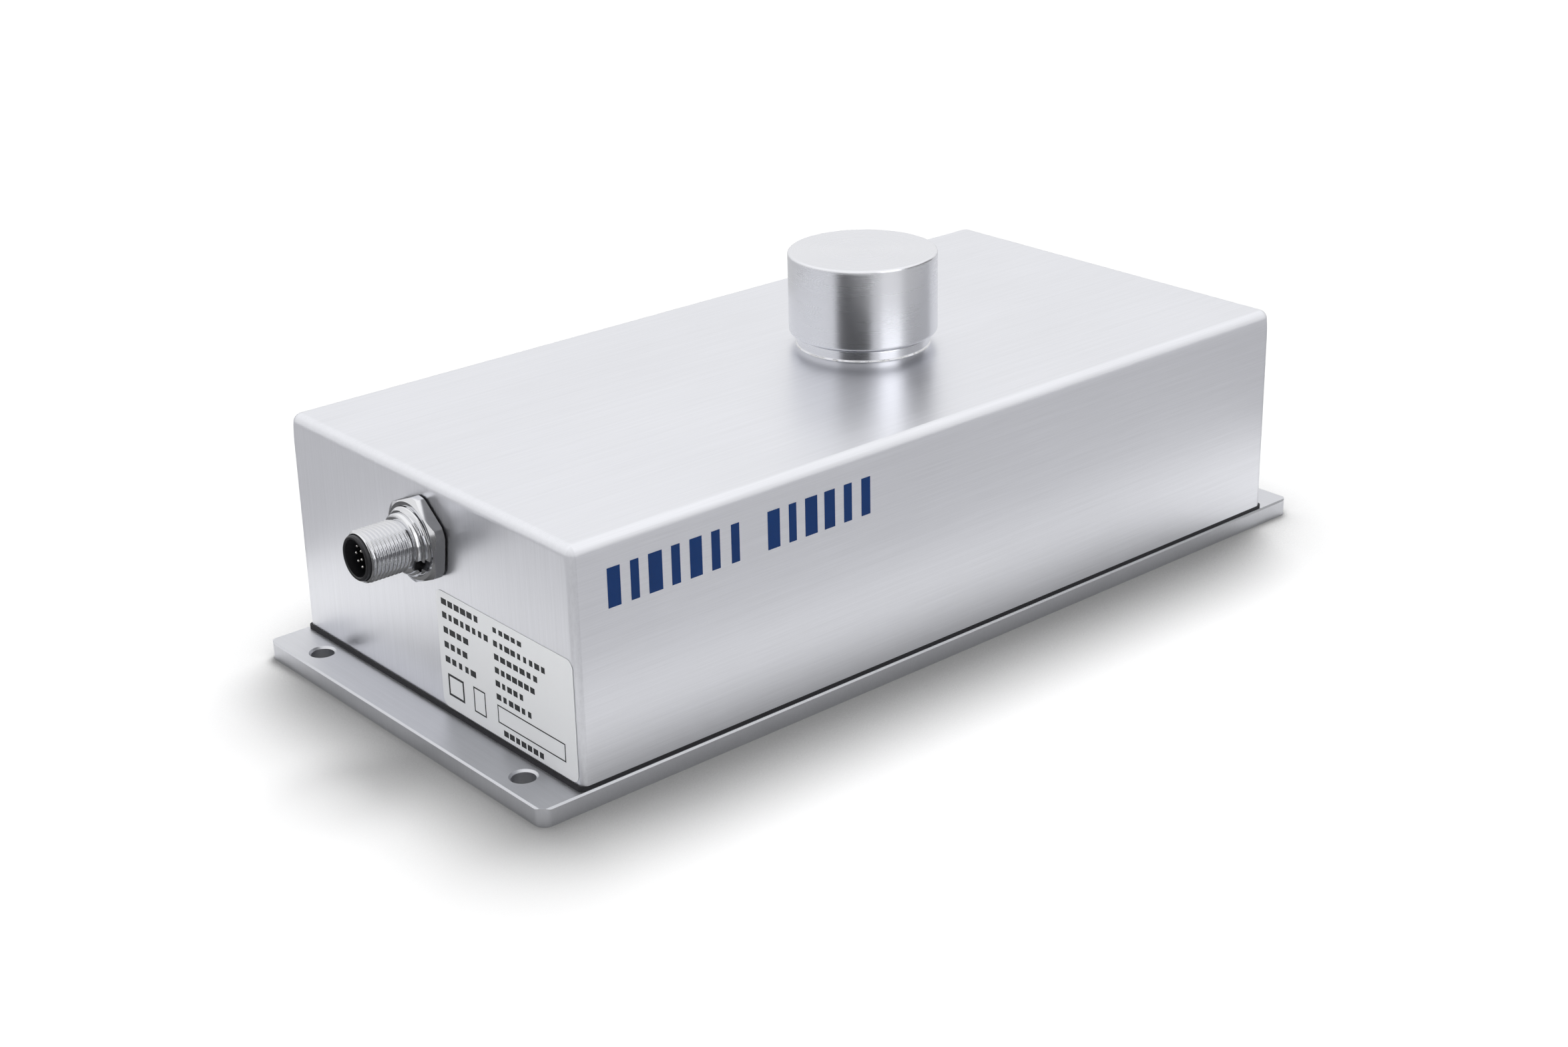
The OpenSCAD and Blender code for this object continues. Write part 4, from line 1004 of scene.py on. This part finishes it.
class StudioStep(Step, bpy.types.Operator):
    """Set the floor, the light and the camera"""

    bl_idname = "weighing.studio"
    bl_label = "Studio"

    def build(self):
        own = look().studio
        bpy.context.scene.view_settings.view_transform = "Standard"
        self.floor(own)
        self.cards()
        self.sun("key_light", own.key, own.key_size, (-0.46, -0.3, -1.0))
        self.fill()
        self.sky(own)
        self.camera(own)

    def seen(self, graph):
        """1 for rays that see the background: from the camera, off metal and through glass."""
        path = graph.tree.nodes.new("ShaderNodeLightPath")
        camera, glossy, through = (Term(graph, path.outputs[f"Is {kind} Ray"])
                                   for kind in ("Camera", "Glossy", "Transmission"))
        return camera.high(glossy).high(through)

    def floor(self, own):
        finish = Finish("studio_floor", tuple(own.floor), 1.0)
        finish.set("Specular IOR Level", 0.0)
        # Painted contact shadow: the floor's colour darkens by ambient occlusion close to the part, on top of
        # the key light's real shadow
        painted_contact_shadow = finish.node("ShaderNodeAmbientOcclusion", {"samples": 4}, {"Distance": 0.035}, output=1)
        finish.set("Base Color", painted_contact_shadow.rise(0.4, 0.97).tint(shaded(tuple(own.floor), 0.15), tuple(own.floor)))
        glow = finish.node("ShaderNodeEmission", None, {"Color": (1.0, 1.0, 1.0), "Strength": 1.0})
        finish.show(self.seen(finish) * 0.12, finish.body, glow)
        self.sheet("studio_floor", self.level((-4, -4), (4, 4), 0), finish.material)

    def sheet(self, name, corners, material):
        mesh = meshed(name, corners, [(0, 1, 2, 3)])
        finished(mesh, material)
        piece = linked(name, mesh)
        return piece

    # Backdrop cards: middle along X, first and last bearing, distance, height, tone and glow
    CARDS = {
        "dark_card": (LOAD_X * MM, 187, 240, 0.8, 1.7, 0.03, 0.0),
        "right_card": (0.0, 300, 352, 1.1, 1.7, 0.0, 0.5),
        "bright_card": (0.0, 256, 288, 1.2, 1.3, 0.0, 2.0),
        "side_card": (0.0, 294, 358, 1.0, 0.6, 0.2, 0.0),
    }

    # Radius round the pan and round the plug within which a ray counts as starting on it
    PAN_REACH, PLUG_REACH = 0.0195, 0.0115

    def cards(self):
        """Dark, grey and bright cards, each of which only shows as a reflection in what it is meant for."""
        wide, lift, x0, y0, back, grey = 1.6, 0.001, 0.17, 0.1, 0.3, 0.48
        sheets = [(name, self.wall(middle, start, end, away, top), self.card_finish(name, tone, glow))
                  for name, (middle, start, end, away, top, tone, glow) in self.CARDS.items()]
        edge = PLATE_LOW.x * MM - 0.003
        sheets.append(("dark_floor", self.level((-wide, -wide), (edge, back), lift * 2),
                       self.card_finish("dark_floor", 0.02, 0.0)))
        around = (((-wide, -wide), (wide, -y0)), ((-wide, y0), (wide, wide)), ((-wide, -y0), (-x0, y0)),
                  ((x0, -y0), (wide, y0)))
        for index, (low, high) in enumerate(around):
            name = f"floor_card_{index}"
            finish = Finish(name, (grey, grey, grey * 1.02), 0.9)
            sheets.append((name, self.level(low, high, lift), finish.material))
        for name, corners, material in sheets:
            card = self.sheet(name, corners, material)
            card.visible_camera = card.visible_diffuse = card.visible_shadow = False

    def card_finish(self, name, tone, glow):
        """A plain tone, seen only by rays that start where the card is meant to show."""
        finish = Finish(name, (tone, tone, tone * 1.02), 0.9)
        if glow:
            finish.set("Emission Color", (1.0, 1.0, 1.0))
            finish.set("Emission Strength", glow)
        path = finish.tree.nodes.new("ShaderNodeLightPath")
        towards = finish.node("ShaderNodeNewGeometry", output="Incoming")
        here = finish.node("ShaderNodeNewGeometry", output="Position")
        reach = Term(finish, path.outputs["Ray Length"])
        again = Term(finish, path.outputs["Glossy Depth"]).more(1.5)
        start = finish.node("ShaderNodeVectorMath", {"operation": "MULTIPLY_ADD"},
                            {0: towards, 1: finish.point(reach, reach, reach), 2: here})
        x, y, z = finish.axes(start)
        cover_top = COVER_HIGH.z * MM
        to_pan = (x - LOAD_X * MM) * (x - LOAD_X * MM) + y * y
        from_pan = to_pan.less(self.PAN_REACH ** 2) * z.more(cover_top + 0.0005)
        under_brim = z.less(PAN_HIGH.z * MM - 0.001)
        to_plug = (y - PLUG_Y * MM) * (y - PLUG_Y * MM) + (z - PLUG_Z * MM) * (z - PLUG_Z * MM)
        from_plug = to_plug.less(self.PLUG_REACH ** 2) * x.less(FACE_X * MM - 0.0002)
        in_pan = from_pan * (1.0 - again * 0.5) * under_brim
        shown = {
            "dark_card": in_pan.high(again * (1.0 - from_pan)).high(from_plug * 0.8),
            "dark_floor": (from_plug * 0.85).high(again * x.less(FACE_X * MM + 0.0005) * 0.85),
            "right_card": again * z.more(cover_top - 0.0005) * 0.8,
            "bright_card": from_pan.high(from_plug).high(again),
            "side_card": z.less(cover_top - 0.003).high(from_pan * 0.8),
        }[name]
        finish.show(shown, finish.node("ShaderNodeBsdfTransparent"), finish.body)
        return finish.material

    def level(self, low, high, z):
        """Corners of a level piece that faces up."""
        return [(low[0], low[1], z), (high[0], low[1], z), (high[0], high[1], z), (low[0], high[1], z)]

    def wall(self, middle, start, end, away, top):
        """Corners of an upright piece between two bearings, facing outwards."""
        ends = [(middle + away * math.cos(math.radians(angle)), away * math.sin(math.radians(angle)))
                for angle in (start, end)]
        return [(x, y, z) for z, pair in ((0.0, ends), (top, ends[::-1])) for x, y in pair]

    def sun(self, name, level, size, direction):
        """A light from far away that leaves no highlight."""
        lamp = linked(name, bpy.data.lights.new(name, "SUN"))
        lamp.data.energy = level
        lamp.data.angle = size
        lamp.rotation_euler = Vector(direction).to_track_quat("-Z", "Y").to_euler()
        lamp.visible_glossy = False
        return lamp

    def fill(self):
        """A soft light from the connector end that only falls on the label."""
        lamp = self.sun("label_fill", 0.7, 0.6, (0.85, 0.4, -0.35))
        lit = bpy.data.collections.new("label_fill")
        for name in ("label_film", "label_fields"):
            lit.objects.link(bpy.data.objects[name])
        lamp.light_linking.receiver_collection = lit

    def sky(self, own):
        world = bpy.data.worlds.new("studio")
        bpy.context.scene.world = world
        world.use_nodes = True
        graph = Graph(world.node_tree)
        graph.tree.nodes.clear()
        light = graph.node("ShaderNodeBackground", None, {"Color": (1.0, 1.0, 1.0), "Strength": own.sky})
        height = graph.node("ShaderNodeSeparateXYZ", None, {0: graph.node("ShaderNodeTexCoord")}, output=2)
        from_camera = graph.node("ShaderNodeLightPath", output="Is Camera Ray")
        level = from_camera.between(height.rise(0.1, 0.75).between(0.9, 1.16), 1.0)
        back = graph.node("ShaderNodeBackground", None, {"Color": (1.0, 1.0, 1.0), "Strength": level})
        mixed = graph.node("ShaderNodeMixShader", None, {0: self.seen(graph), 1: light, 2: back})
        output = graph.tree.nodes.new("ShaderNodeOutputWorld")
        graph.tree.links.new(mixed.socket, output.inputs["Surface"])

    def camera(self, own):
        a, e = own.bearing, own.dip
        forward = Vector((math.cos(e) * math.sin(a), math.cos(e) * math.cos(a), -math.sin(e)))
        level = Vector((math.cos(a), -math.sin(a), 0))
        right = level * math.cos(own.roll) + level.cross(forward) * math.sin(own.roll)
        turn = Matrix((right, right.cross(forward), -forward)).transposed().to_4x4()
        lens = bpy.data.cameras.new("camera")
        lens.sensor_width = 36
        lens.lens = own.lens
        lens.shift_y = own.shift
        lens.clip_start = 0.01
        camera = linked("camera", lens)
        camera.matrix_world = Matrix.Translation(Vector(own.stand)) @ turn
        bpy.context.scene.camera = camera


STEPS = (PlateStep, CoverStep, PrintStep, PanStep, ConnectorStep, LabelStep, CellStep, WindingStep, TrackStep,
         StudioStep)


class WEIGHING_PT_sidebar(bpy.types.Panel):
    """The steps and settings of the weighing module"""

    bl_label = "Weighing module"
    bl_space_type = "VIEW_3D"
    bl_region_type = "UI"
    bl_category = "Weighing"

    def draw(self, context):
        for step in STEPS:
            self.layout.operator(step.bl_idname)
        for group in (look().housing, look().connector, look().print, look().studio):
            box = self.layout.box()
            for name in group.bl_rna.properties.keys():
                if name not in ("rna_type", "name"):
                    box.prop(group, name)


CLASSES = (HousingLook, ConnectorLook, PrintLook, StudioLook, ModuleLook, *STEPS, WEIGHING_PT_sidebar)


def register():
    for kind in CLASSES:
        bpy.utils.register_class(kind)
    bpy.types.Scene.weighing_look = bpy.props.PointerProperty(type=ModuleLook)


def unregister():
    del bpy.types.Scene.weighing_look
    for kind in reversed(CLASSES):
        bpy.utils.unregister_class(kind)


def main():
    register()
    for step in STEPS:
        group, name = step.bl_idname.split(".")
        getattr(getattr(bpy.ops, group), name)()


if __name__ == "__main__":
    main()
